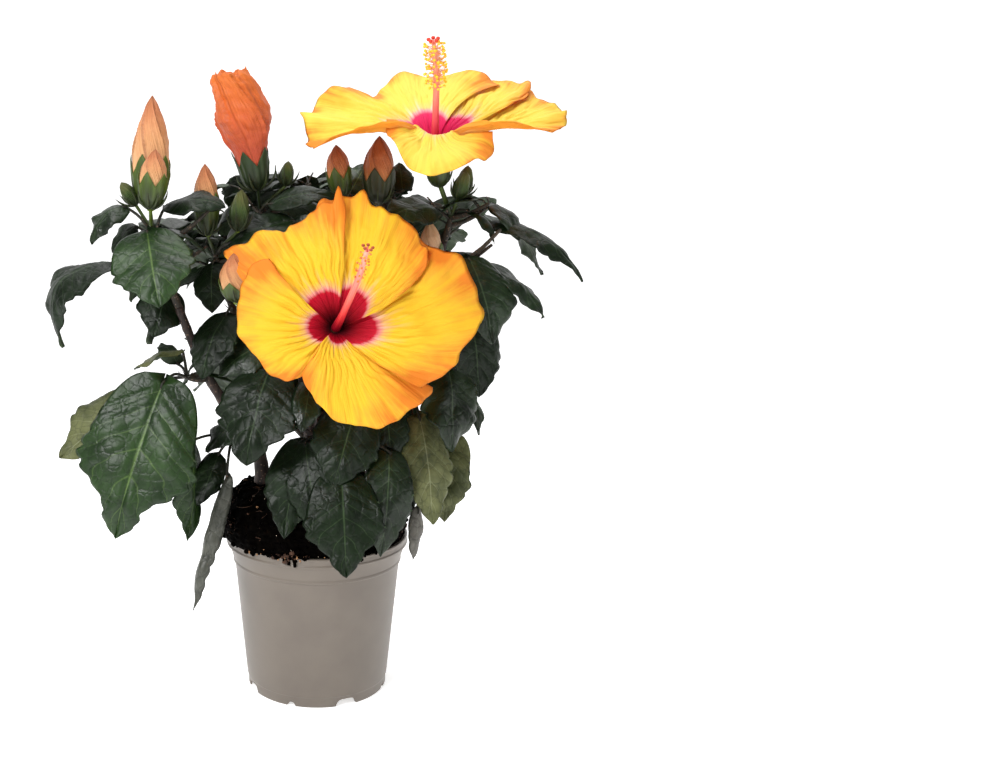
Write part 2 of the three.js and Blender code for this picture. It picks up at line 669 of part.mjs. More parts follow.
function seededLeaf(path, k, count, start, draw) {
  const share = 0.3 + (0.7 * (k + 1)) / count;
  const turn = (start + goldenAngle * k + 50 * (draw() - 0.5)) * degrees;
  const out = new THREE.Vector3(Math.cos(turn), Math.sin(turn), 0);
  const stalkLength = 14 + 14 * draw();
  const base = path.at(Math.min(share, 0.95)).addScaledVector(out, stalkLength * 0.86);
  base.z += stalkLength * 0.5;
  const droop = (15 + 50 * draw()) * degrees;
  const length = 54 + 30 * draw();
  const down = -length * Math.sin(droop);
  const tip = base.clone().addScaledVector(out, length * Math.cos(droop));
  tip.z += down;
  const face = [out.x * Math.sin(droop), out.y * Math.sin(droop), Math.cos(droop)];
  const wide = length * (0.62 + 0.12 * draw());
  return leaf([base.x, base.y, base.z], [tip.x, tip.y, tip.z], wide, face, 0.08 + 0.1 * draw(), 0.2,
    share, seededSteps);
}

function limbProbes(path) {
  return Array.from({ length: 13 }, (_, k) => path.at(k / 12));
}

const limbPaths = Object.fromEntries(Object.entries(limbs)
  .map(([name, limb]) => [name, smoothPath(limb.points, limb.radii)]));

const standing = [
  ...Object.values(limbPaths).flatMap((path) => limbProbes(path)),
  ...Object.values(blooms)
    .flatMap((bloom) => bloom.petals.map((petal) => petalSurface(bloom, petal)))
    .flatMap((surface) => probes(surface)),
  ...Object.values(buds).flatMap((bud) => limbProbes(budPath(bud))),
  ...Object.values(masses).flatMap((mass) => mass.leaves.flatMap((blade) => probes(blade.surface))),
];

function growMass(mass, draw) {
  const stem = smoothPath(mass.stem, [2.7, 2.2, 1.8]);
  const paths = [stem];
  for (let k = 0; k < mass.twigs; k += 1) {
    paths.push(seededTwig(stem, mass, k, draw));
  }
  const grown = mass.leaves.map((blade) => ({ path: stem, blade }));
  paths.forEach((path, index) => {
    for (let k = 0; k < mass.fill; k += 1) {
      for (let attempt = 0; attempt < leafTries; attempt += 1) {
        const blade = seededLeaf(path, k, mass.fill, mass.facing + 70 * index + 45 * attempt, draw);
        const found = probes(blade.surface);
        const inside = found.every((point) => inSpace(mass.space, point) && !showsInOpening(point));
        if (inside && isClear(found, standing, leafRoom)) {
          standing.push(...found);
          grown.push({ path, blade });
          break;
        }
      }
    }
  });
  return { paths, grown };
}

// Every piece of the plant is made twice: the solid itself, and a slightly larger one that
// cuts a clear gap into whatever comes after it.

const nodes = [];

function addNode(name, solid, colour, roughness = 0.6) {
  nodes.push({ name, solid, colour, roughness });
}

const cutters = [];

function clearOfEarlier(solid) {
  return cutters.reduce((left, cutter) => left.subtract(cutter), solid);
}

function addPiece(name, makeSolids, colour, roughness) {
  const solid = mainBody(clearOfEarlier(union(makeSolids(0))));
  cutters.push(...makeSolids(gap + finestEdge));
  addNode(name, solid, colour, roughness);
}

// The pot

function potSolid() {
  const foot = footRadius;
  const outer = [
    [0, 0], [foot - 1, 0], [foot, 1], [beadRadius - 1, beadHeight - 1], [beadRadius, beadHeight - 0.5],
    [beadRadius, beadHeight + 0.5], [beadRadius + 0.4, beadHeight + 1.2],
    [rimRadius - 1.4, potHeight - rimDepth - 0.6], [rimRadius, potHeight - rimDepth],
    [rimRadius, potHeight - 0.8], [rimRadius - 0.8, potHeight],
  ];
  const inner = [
    [rimRadius - 2 * potWall, potHeight], [beadRadius - potWall, beadHeight + 2],
    [beadRadius - 1 - potWall, beadHeight - 1], [foot - potWall, potFloor], [0, potFloor],
  ];
  const profile = [...outer, ...inner].map(([r, z]) => new THREE.Vector2(r, z));
  const lathe = new THREE.LatheGeometry(profile, potSides);
  lathe.rotateX(Math.PI / 2);
  let solid = solidFromGeometry(lathe);
  for (const angle of notchAngles) {
    for (const [turn, notch] of [[angle, bigNotch], [angle + 45, smallNotch]]) {
      const cut = box(notch.deep, notch.wide, notch.high * 2);
      cut.translate(foot, 0, 0);
      cut.rotateZ(turn * degrees);
      solid = solid.subtract(solidFromGeometry(cut));
    }
  }
  return solid;
}

// The root ball fills the pot and stands proud of the rim. Each ring has a radius, a height and the
// share of the bulge that it takes part in on the left.
function rootBallSolid() {
  const clear = potWall + 2 * gap;
  const rings = [
    [0, potFloor + gap, 0], [footRadius - clear, potFloor + gap, 0],
    [beadRadius - 1 - clear, beadHeight - 1, 0], [beadRadius - clear, beadHeight + 2, 0],
    [rimRadius - potWall - clear, potHeight, 0], [rimRadius - potWall - clear, potHeight + gap, 0],
    [rimRadius - 2 * potWall, potHeight + 1, 1], [rimRadius - 1, potHeight + 12, 1],
    [rimRadius - 4, potHeight + 24, 0.8], [rimRadius - 14, potHeight + 33, 0.3],
    [rimRadius - 33, moundHeight - 2, 0], [0, moundHeight, 0],
  ];
  const profile = rings.map(([r, z]) => new THREE.Vector2(r, z));
  const lathe = new THREE.LatheGeometry(profile, soilSides);
  lathe.rotateX(Math.PI / 2);
  const places = lathe.attributes.position;
  for (let k = 0; k < places.count; k += 1) {
    const x = places.getX(k);
    const y = places.getY(k);
    const radius = Math.hypot(x, y);
    const ring = k % rings.length;
    const swell = rings[ring][2] * bulge * Math.max(0, -x / Math.max(radius, 1));
    const scale = radius > 1 ? (radius + swell) / radius : 1;
    places.setXY(k, x * scale, y * scale);
  }
  return solidFromGeometry(lathe);
}

// A block below a height, which cuts the flat foot of a limb that stands in the soil.
function belowFoot(limb, height) {
  const [x, y] = limb.points[0];
  const depth = 40;
  const cut = box(60, 60, depth);
  cut.translate(x, y, height - depth / 2);
  return solidFromGeometry(cut);
}

addNode('pot', potSolid(), 'pot', 0.4);

const standingLimbs = ['trunk', 'stem_left'];
for (const [name, limb] of Object.entries(limbs)) {
  const sides = limb.sides ?? 6;
  const steps = (limb.points.length - 1) * 2;
  const make = (extra) => {
    const whole = tube(limbPaths[name], sides, steps, extra);
    return [standingLimbs.includes(name) ? whole.subtract(belowFoot(limb, stemFoot - extra)) : whole];
  };
  addPiece(name, make, 'bark', 0.8);
}

const seats = cutters.reduce((left, cutter) => left.subtract(cutter), rootBallSolid());
addNode('root_ball', mainBody(seats), 'soil', 0.95);
cutters.push(rootBallSolid());

for (const [name, bloom] of Object.entries(blooms)) {
  addPiece(name, (extra) => bloomSolids(bloom, extra), bloom.colour, 0.5);
}

const draw = seededDraws(seed);
for (const [name, mass] of Object.entries(masses)) {
  const { paths, grown } = growMass(mass, draw);
  const make = (extra) => [
    ...paths.map((path, k) => tube(path, k === 0 ? 6 : 4, 3, extra)),
    ...grown.flatMap(({ path, blade }) => leafSolids(path, blade, extra)),
    ...(mass.buds ?? []).flatMap((bud) => budSolids(bud, extra)),
  ];
  addPiece(name, make, 'leaf', 0.4);
}

for (const [name, bud] of Object.entries(buds)) {
  addPiece(name, (extra) => budSolids(bud, extra), name === 'bud_green' ? 'budGreen' : 'bud', 0.6);
}

const plant = new THREE.Group();
for (const { name, solid, colour, roughness } of nodes) {
  const material = new THREE.MeshStandardMaterial({ color: colours[colour], roughness, metalness: 0 });
  const mesh = new THREE.Mesh(geometryFrom(solid), material);
  mesh.name = name;
  plant.add(mesh);
}

export default plant;
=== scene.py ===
# %% [markdown]
# # A young hibiscus shrub in its nursery pot
#
# The solid model already gives every piece its place and size, in millimetres from the centre of
# the pot's underside. This lesson dresses it: it grows the same shrub again from the same named
# sizes, with toothed and quilted leaves, ruffled petals, buds with their sepals, crumbly peat and
# a smooth moulded pot. It starts by loading the solids.

# %% Load the solids
import json

import bpy
import numpy as np
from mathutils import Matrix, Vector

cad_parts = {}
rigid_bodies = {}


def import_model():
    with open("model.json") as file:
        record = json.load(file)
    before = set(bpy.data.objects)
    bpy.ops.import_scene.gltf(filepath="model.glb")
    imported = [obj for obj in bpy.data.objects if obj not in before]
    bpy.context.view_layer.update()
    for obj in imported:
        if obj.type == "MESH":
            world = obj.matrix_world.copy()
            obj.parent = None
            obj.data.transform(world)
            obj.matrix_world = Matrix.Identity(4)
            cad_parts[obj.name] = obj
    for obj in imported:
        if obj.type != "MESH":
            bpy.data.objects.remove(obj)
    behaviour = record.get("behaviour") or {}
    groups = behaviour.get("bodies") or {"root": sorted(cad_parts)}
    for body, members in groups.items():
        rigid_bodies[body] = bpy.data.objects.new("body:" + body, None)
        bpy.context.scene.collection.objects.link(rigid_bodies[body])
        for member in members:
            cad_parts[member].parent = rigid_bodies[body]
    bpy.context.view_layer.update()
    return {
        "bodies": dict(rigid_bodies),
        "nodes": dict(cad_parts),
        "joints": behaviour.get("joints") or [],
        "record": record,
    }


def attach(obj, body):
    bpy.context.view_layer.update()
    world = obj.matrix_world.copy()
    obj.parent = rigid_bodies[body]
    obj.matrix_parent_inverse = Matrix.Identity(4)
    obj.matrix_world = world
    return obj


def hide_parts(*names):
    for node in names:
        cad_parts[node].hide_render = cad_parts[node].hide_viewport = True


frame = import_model()
MM = 0.001

# %% [markdown]
# ## The camera
#
# A product photograph is taken from a little above the pot with a normal lens, and the plant
# stands left of the middle of the frame. Moving the camera sideways would show the plant from its
# side, so the lens is shifted instead: the view stays square on, and only the frame moves.

# %% Set up the camera
camera_away, camera_high, camera_dip = 800, 370, 10.4
focal_length_pixels, optical_centre_pixels, image_wide_pixels = 1154, 317.1, 1000

camera_data = bpy.data.cameras.new("camera")
camera_data.sensor_width = 36
camera_data.lens = camera_data.sensor_width * focal_length_pixels / image_wide_pixels
camera_data.shift_x = 0.5 - optical_centre_pixels / image_wide_pixels
camera = bpy.data.objects.new("camera", camera_data)
camera.location = (0, -camera_away * MM, camera_high * MM)
camera.rotation_euler = (np.radians(90 - camera_dip), 0, 0)
bpy.context.scene.collection.objects.link(camera)
bpy.context.scene.camera = camera
print("lens", round(camera_data.lens, 1), "mm, shift", round(camera_data.shift_x, 3))

# %% [markdown]
# ## Colours and nodes
#
# Colours are picked as sRGB hex values, as a painter reads them off a chart, but the renderer
# counts in linear light, so one function turns them over. A second one adds a shader node with
# its settings and links in one call, which keeps every material below short enough to read. Two
# more start a material on a Principled shader and link what was worked out back to that shader.
# Patterns read Object coordinates, which are metres here, so a pattern's scale is one over its
# real size.

# %% Helpers for colours and materials
def linear(code):
    """sRGB hex to linear: c / 12.92 below 0.04045, else ((c + 0.055) / 1.055) to the power 2.4."""
    c = np.array([int(code[k:k + 2], 16) for k in (1, 3, 5)]) / 255
    c = np.where(c <= 0.04045, c / 12.92, ((c + 0.055) / 1.055) ** 2.4)
    return (*c.tolist(), 1.0)


def add(tree, kind, inputs=(), stops=(), out=0, **settings):
    """Adds one node and gives one of its outputs. Each input, by its name or its number, gets a
    value, or a link where the value is another node's output; the stops fill a colour ramp."""
    made = tree.nodes.new("ShaderNode" + kind)
    for name, value in settings.items():
        setattr(made, name, value)
    for name, value in (inputs if isinstance(inputs, dict) else dict(enumerate(inputs))).items():
        if isinstance(value, bpy.types.NodeSocket):
            tree.links.new(value, made.inputs[name])
        else:
            made.inputs[name].default_value = value
    for k, (place, code) in enumerate(stops):
        ramp = made.color_ramp
        element = ramp.elements[k] if k < 2 else ramp.elements.new(place)
        element.position = place
        element.color = linear(code)
    return made.outputs[out]


def start_material(name, colour, roughness, **sockets):
    """A material and its tree, with plain values on its Principled shader's own sockets."""
    material = bpy.data.materials.new(name)
    material.use_nodes = True
    inputs = material.node_tree.nodes["Principled BSDF"].inputs
    for socket, value in dict(Base_Color=linear(colour), Roughness=roughness, **sockets).items():
        inputs[socket.replace("_", " ")].default_value = value
    return material, material.node_tree


def finish_material(material, **links):
    """Links each output to the socket it is named for on the Principled shader."""
    inputs = material.node_tree.nodes["Principled BSDF"].inputs
    for socket, output in links.items():
        material.node_tree.links.new(output, inputs[socket.replace("_", " ")])
    return material


def per(size_mm):
    """The scale of a pattern whose cells are this many millimetres across."""
    return 1 / (size_mm * MM)


print("mid grey #808080 in linear light:", round(linear("#808080")[0], 3), "and a 5 mm pattern:", per(5))

# %% [markdown]
# ## Forms made of points
#
# Every surface here is a grid of points worked out with numpy: rows run along the piece and
# columns across it. A few formulas come back in nearly every piece, so they come first: even
# turns round a circle, points placed by radius, turn and height, and a smooth bump. Then one
# function turns a grid into quads, one wraps rings round a path into a closed tube, and one gives
# a grid a thin body with both faces, as a leaf or petal has. Forms are kept as plain arrays until
# they are all joined, which is far quicker than joining objects.

# %% Shared formulas
def unit(vectors):
    """Each vector over its own length."""
    return vectors / np.maximum(np.linalg.norm(vectors, axis=-1, keepdims=True), 1e-9)


def grid(rows, columns):
    """Both numbers of each point of a grid, as two arrays (rows, columns)."""
    return np.meshgrid(rows, columns, indexing="ij")


def turns(count):
    """So many even turns round a circle."""
    return np.arange(count) * 2 * np.pi / count


def polar(radius, turn, height):
    """Points (radius x cos turn, radius x sin turn, height)."""
    return np.stack(np.broadcast_arrays(radius * np.cos(turn), radius * np.sin(turn), height), -1)


def bell(place, middle, wide):
    """A smooth bump, 1 at its middle: exp(-((place - middle) / wide)^2)."""
    return np.exp(-(((place - middle) / wide) ** 2))


def rough(points, size, seed):
    """A smooth irregular value from -1 to 1: the mean of sixteen sine waves about size mm long,
    running in seeded directions with seeded phases, made a little larger."""
    random = np.random.default_rng(seed)
    waves = unit(random.normal(size=(3, 16)).T).T * 2 * np.pi / (size * random.uniform(0.7, 1.5, 16))
    return np.clip(np.sin(points @ waves + random.uniform(0, 2 * np.pi, 16)).mean(-1) * 2.6, -1, 1)


print("a quarter turn:", round(turns(4)[1], 2), "and the bump one width off:", round(bell(1, 0, 1), 2))

# %% Helpers for forms
def faces(points, corners, uv, slot):
    """A form: points in millimetres, and faces that all have the same number of corners."""
    return {
        "points": np.reshape(points, (-1, 3)),
        "corners": corners.ravel(),
        "sizes": np.full(len(corners), corners.shape[1]),
        "uv": np.reshape(uv, (-1, 2)),
        "slots": np.full(len(corners), slot),
    }


def stacked(forms):
    """Forms one after another, array by array, where the corners already count the same points."""
    return {key: np.concatenate([form[key] for form in forms]) for key in forms[0]}


def joined(forms):
    """Forms stacked into one, each form's corners counted on from the points before it."""
    before = np.cumsum([0] + [len(form["points"]) for form in forms[:-1]])
    return stacked([form | {"corners": form["corners"] + count} for form, count in zip(forms, before)])


def lattice(points, wrap=False, flip=False, slot=0):
    """Quads over a grid (rows, columns, 3): the face looks along row step x column step."""
    rows, columns = points.shape[:2]
    cells = columns if wrap else columns - 1
    i, j = (a.ravel() for a in grid(np.arange(rows - 1), np.arange(cells)))
    steps = [(0, 0), (1, 0), (1, 1), (0, 1)][:: -1 if flip else 1]
    corners = np.stack([(i + a) * columns + (j + b) % columns for a, b in steps], 1)
    uv = np.stack([np.stack([(i + a) / (rows - 1), (j + b) / cells], 1) for a, b in steps], 1)
    return faces(points, corners, uv, slot)


def closed_rings(rings, slot=0):
    """Rings (rows, sides, 3) as a closed skin, with a fan of triangles over each end."""
    rows, sides = rings.shape[:2]
    skin = lattice(rings, wrap=True, flip=True, slot=slot)
    ends = rings[[0, -1]].mean(axis=1)
    j = np.arange(sides)
    k = (j + 1) % sides
    last = (rows - 1) * sides
    centre = np.full(sides, rows * sides)
    fans = np.concatenate([np.stack([centre, k, j], 1), np.stack([centre + 1, last + j, last + k], 1)])
    row_share = np.repeat([0.0, 1.0], sides)[:, None] * np.ones(3)
    fan_uv = np.stack([row_share, np.tile(j / sides, 2)[:, None] * np.ones(3)], 2)
    return stacked([skin, faces(ends, fans, fan_uv, slot)])


def tube(path, radii, sides, slot=0, relief=1.0):
    """Rings square to a path: centre + radius x relief x (cos turn x side + sin turn x other)."""
    along = unit(np.gradient(path, axis=0))
    reference = np.eye(3)[np.argmin(np.abs(path[-1] - path[0]))]
    side = unit(np.cross(reference, along))[:, None]
    other = np.cross(along[:, None], side)
    turn = turns(sides)[:, None]
    reach = (np.reshape(radii, (-1, 1)) * relief)[..., None] * np.ones((len(path), sides, 1))
    rings = path[:, None] + reach * (np.cos(turn) * side + np.sin(turn) * other)
    return closed_rings(rings, slot)


def sheet(points, half, slots=(0, 1)):
    """A thin closed body over a grid: its faces lie half a thickness off, and meet at the rim."""
    normal = unit(np.cross(np.gradient(points, axis=0), np.gradient(points, axis=1)))
    rows, columns = points.shape[:2]
    inner = np.zeros((rows, columns), bool)
    inner[1:-1, 1:-1] = True
    top = points + (inner * half)[..., None] * normal
    bottom = points - (inner * half)[..., None] * normal
    number = np.arange(rows * columns).reshape(rows, columns)
    number[inner] = rows * columns + np.arange(inner.sum())
    upper, lower = lattice(top, slot=slots[0]), lattice(top, flip=True, slot=slots[1])
    lower["corners"] = number.ravel()[lower["corners"]]
    return stacked([upper, lower]) | {"points": np.concatenate([top.reshape(-1, 3), bottom[inner]])}


def piece(name, form, materials, slot=None, replaced=()):
    """Puts a form into a mesh object in metres at the origin; given a slot, it hangs it on the root body and
    hides the solids that it replaces.
    """
    mesh = bpy.data.meshes.new(name)
    mesh.vertices.add(len(form["points"]))
    mesh.vertices.foreach_set("co", (form["points"] * MM).ravel())
    mesh.loops.add(len(form["corners"]))
    mesh.loops.foreach_set("vertex_index", form["corners"])
    mesh.polygons.add(len(form["sizes"]))
    mesh.polygons.foreach_set("loop_start", np.cumsum(form["sizes"]) - form["sizes"])
    mesh.polygons.foreach_set("material_index", form["slots"])
    mesh.polygons.foreach_set("use_smooth", np.ones(len(form["sizes"]), bool))
    mesh.uv_layers.new(name="along_and_across").data.foreach_set("uv", form["uv"].ravel())
    mesh.update(calc_edges=True)
    mesh.validate()
    for material in materials:
        mesh.materials.append(material)
    made = bpy.data.objects.new(name, mesh)
    bpy.context.scene.collection.objects.link(made)
    if slot:
        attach(made, "root")
        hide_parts(*replaced)
    print(f"{name}: {int((form['sizes'] - 2).sum())} triangles")
    return made


# %% [markdown]
# ## Light and floor
#
# Catalogue light is soft, but it has a direction: a large softbox above the camera on the left, a
# weaker one on the right and one overhead. Softboxes are area lights, whose size sets how soft
# the shadows are and how broad the highlights on a waxy leaf. The floor is one wide sheet of white
# paper that curves up behind the plant, as in a studio, so there is no line where it meets a wall.
# It glows a little, which stands for the lamps that light the paper itself. The Standard view
# transform keeps the strong yellows as they were picked.

# %% Make the light and the floor
def softbox(name, place, aim, size, watts):
    """An area light at a place that faces its aim, all in millimetres."""
    data = bpy.data.lights.new(name, "AREA")
    data.shape, data.size, data.energy = "SQUARE", size * MM, watts
    lamp = bpy.data.objects.new(name, data)
    lamp.location = np.array(place) * MM
    towards = Vector(np.array(aim, float) - np.array(place, float))
    lamp.rotation_euler = towards.to_track_quat("-Z", "Y").to_euler()
    bpy.context.scene.collection.objects.link(lamp)


def paper_sweep():
    """Flat from the front, then a quarter circle, then upright: one profile drawn out sideways."""
    bend, wall, reach, high = 900, 2600, 6000, 5200
    turn = np.linspace(0, np.pi / 2, 24)
    curve = np.stack([wall - bend + bend * np.sin(turn), bend * (1 - np.cos(turn))], 1)
    profile = np.concatenate([[[-reach, 0], [-800, 0]], curve, [[wall, high]]])
    sides = [np.insert(profile, 0, x, axis=1) for x in (-reach, reach)]
    return lattice(np.stack(sides, 1), flip=True)


crown_middle = (0, 0, 280)
softbox("softbox_left", (-700, -900, 1100), crown_middle, 700, 18.5)
softbox("softbox_right", (1100, -900, 600), crown_middle, 800, 4)
softbox("softbox_top", (100, 200, 1300), crown_middle, 800, 8)

world = bpy.data.worlds.new("studio")
world.use_nodes = True
world.node_tree.nodes["Background"].inputs["Color"].default_value = (1, 1, 1, 1)
world.node_tree.nodes["Background"].inputs["Strength"].default_value = 0.18
bpy.context.scene.world = world
bpy.context.scene.view_settings.view_transform = "Standard"

# Pale paper: matt, with nothing on it to draw the eye.
floor_paper, _ = start_material("white background paper", "#fbfbfb", 0.9,
                                Emission_Strength=0.6, Emission_Color=(1, 1, 1, 1))
floor = piece("floor", paper_sweep(), [floor_paper])

# %% [markdown]
# ## Smooth paths
#
# Limbs, stalks, veins and the flower's column all follow a smooth path through a few points. A
# Catmull-Rom spline passes through each of its points, so the points can be read off the plant.
# The radius is given at each point too, and runs straight between them.

# %% Helpers for paths
def spline(points, shares):
    """A cubic between each two points whose end slopes are half the step between the neighbours;
    past each end the neighbour is the first step turned back."""
    points = np.asarray(points, float)
    padded = np.concatenate([[2 * points[0] - points[1]], points, [2 * points[-1] - points[-2]]])
    place = np.clip(shares, 0, 1) * (len(points) - 1)
    k = np.minimum(place.astype(int), len(points) - 2)
    t = (place - k)[..., None]
    a, b, c, d = (padded[k + n] for n in range(4))
    leave, arrive = (c - a) / 2, (d - b) / 2
    cubic = 2 * b - 2 * c + leave + arrive
    square = -3 * b + 3 * c - 2 * leave - arrive
    return cubic * t**3 + square * t**2 + leave * t + b


def at(points, share):
    """The spline's one point at a share of the way."""
    return spline(points, np.array([share], float))[0]


def limb_tube(points, radii, step, sides, slot=0, relief=None):
    """A tube along the spline with a ring every step millimetres. Where there is a relief, it gives
    the radius as a share of its plain one, from the rings' centres, their shares and the sides."""
    points = np.asarray(points, float)
    length = np.linalg.norm(np.diff(points, axis=0), axis=1).sum()
    shares = np.linspace(0, 1, max(4, int(length / step) + 1))
    path = spline(points, shares)
    girth = np.interp(shares * (len(points) - 1), np.arange(len(points)), radii)
    swell = 1.0 if relief is None else relief(path, shares, sides)
    return tube(path, girth, sides, slot, swell)


# %% [markdown]
# ## Where everything grows
#
# These are the shrub's named sizes, the same ones that the solids were made from. The limbs give
# the skeleton. A mass of foliage has a stem, leaves whose places were measured, a space that it
# keeps to, how many twigs a seeded rule adds inside that space, and which way they face.

# %% The limbs
fork = [-4, 9, 186]
limbs = {
    "trunk": ([[-7, 4, 146], [-7, 5, 156], [-5, 8, 170], fork], [10, 6.4, 5.4, 5]),
    "stem_left": (
        [[-38, -2, 146], [-43, -4, 177], [-57, -8, 197], [-75, -14, 227], [-87, -18, 257], [-94, -20, 277]],
        [6, 4.2, 3.8, 3.4, 3, 2.8],
    ),
    "bough_inner": ([fork, [-30, 6, 215], [-50, 2, 248], [-57, 2, 268]], [3.8, 3.4, 3, 2.7]),
    "bough_centre": ([fork, [-14, 22, 240], [-28, 24, 290], [-36, 21, 318]], [4, 3.6, 3, 2.7]),
    "bough_middle": ([fork, [8, 28, 240], [20, 32, 290], [27, 29, 318]], [4, 3.6, 3, 2.7]),
    "bough_right": (
        [fork, [26, 14, 212], [58, 14, 252], [80, 11, 292], [88, 8, 320]], [4.4, 4, 3.6, 3.2, 3],
    ),
    "bough_front": ([fork, [-2, -12, 206], [4, -26, 224]], [3.6, 3, 2.6]),
    "bough_back_left": ([fork, [-28, 48, 222], [-56, 76, 262]], [4, 3.4, 2.8]),
    "bough_back_right": ([fork, [28, 52, 226], [58, 80, 268]], [4, 3.4, 2.8]),
    "bough_back": ([fork, [2, 54, 240], [6, 78, 290]], [4, 3.4, 2.8]),
}
print(len(limbs), "limbs")

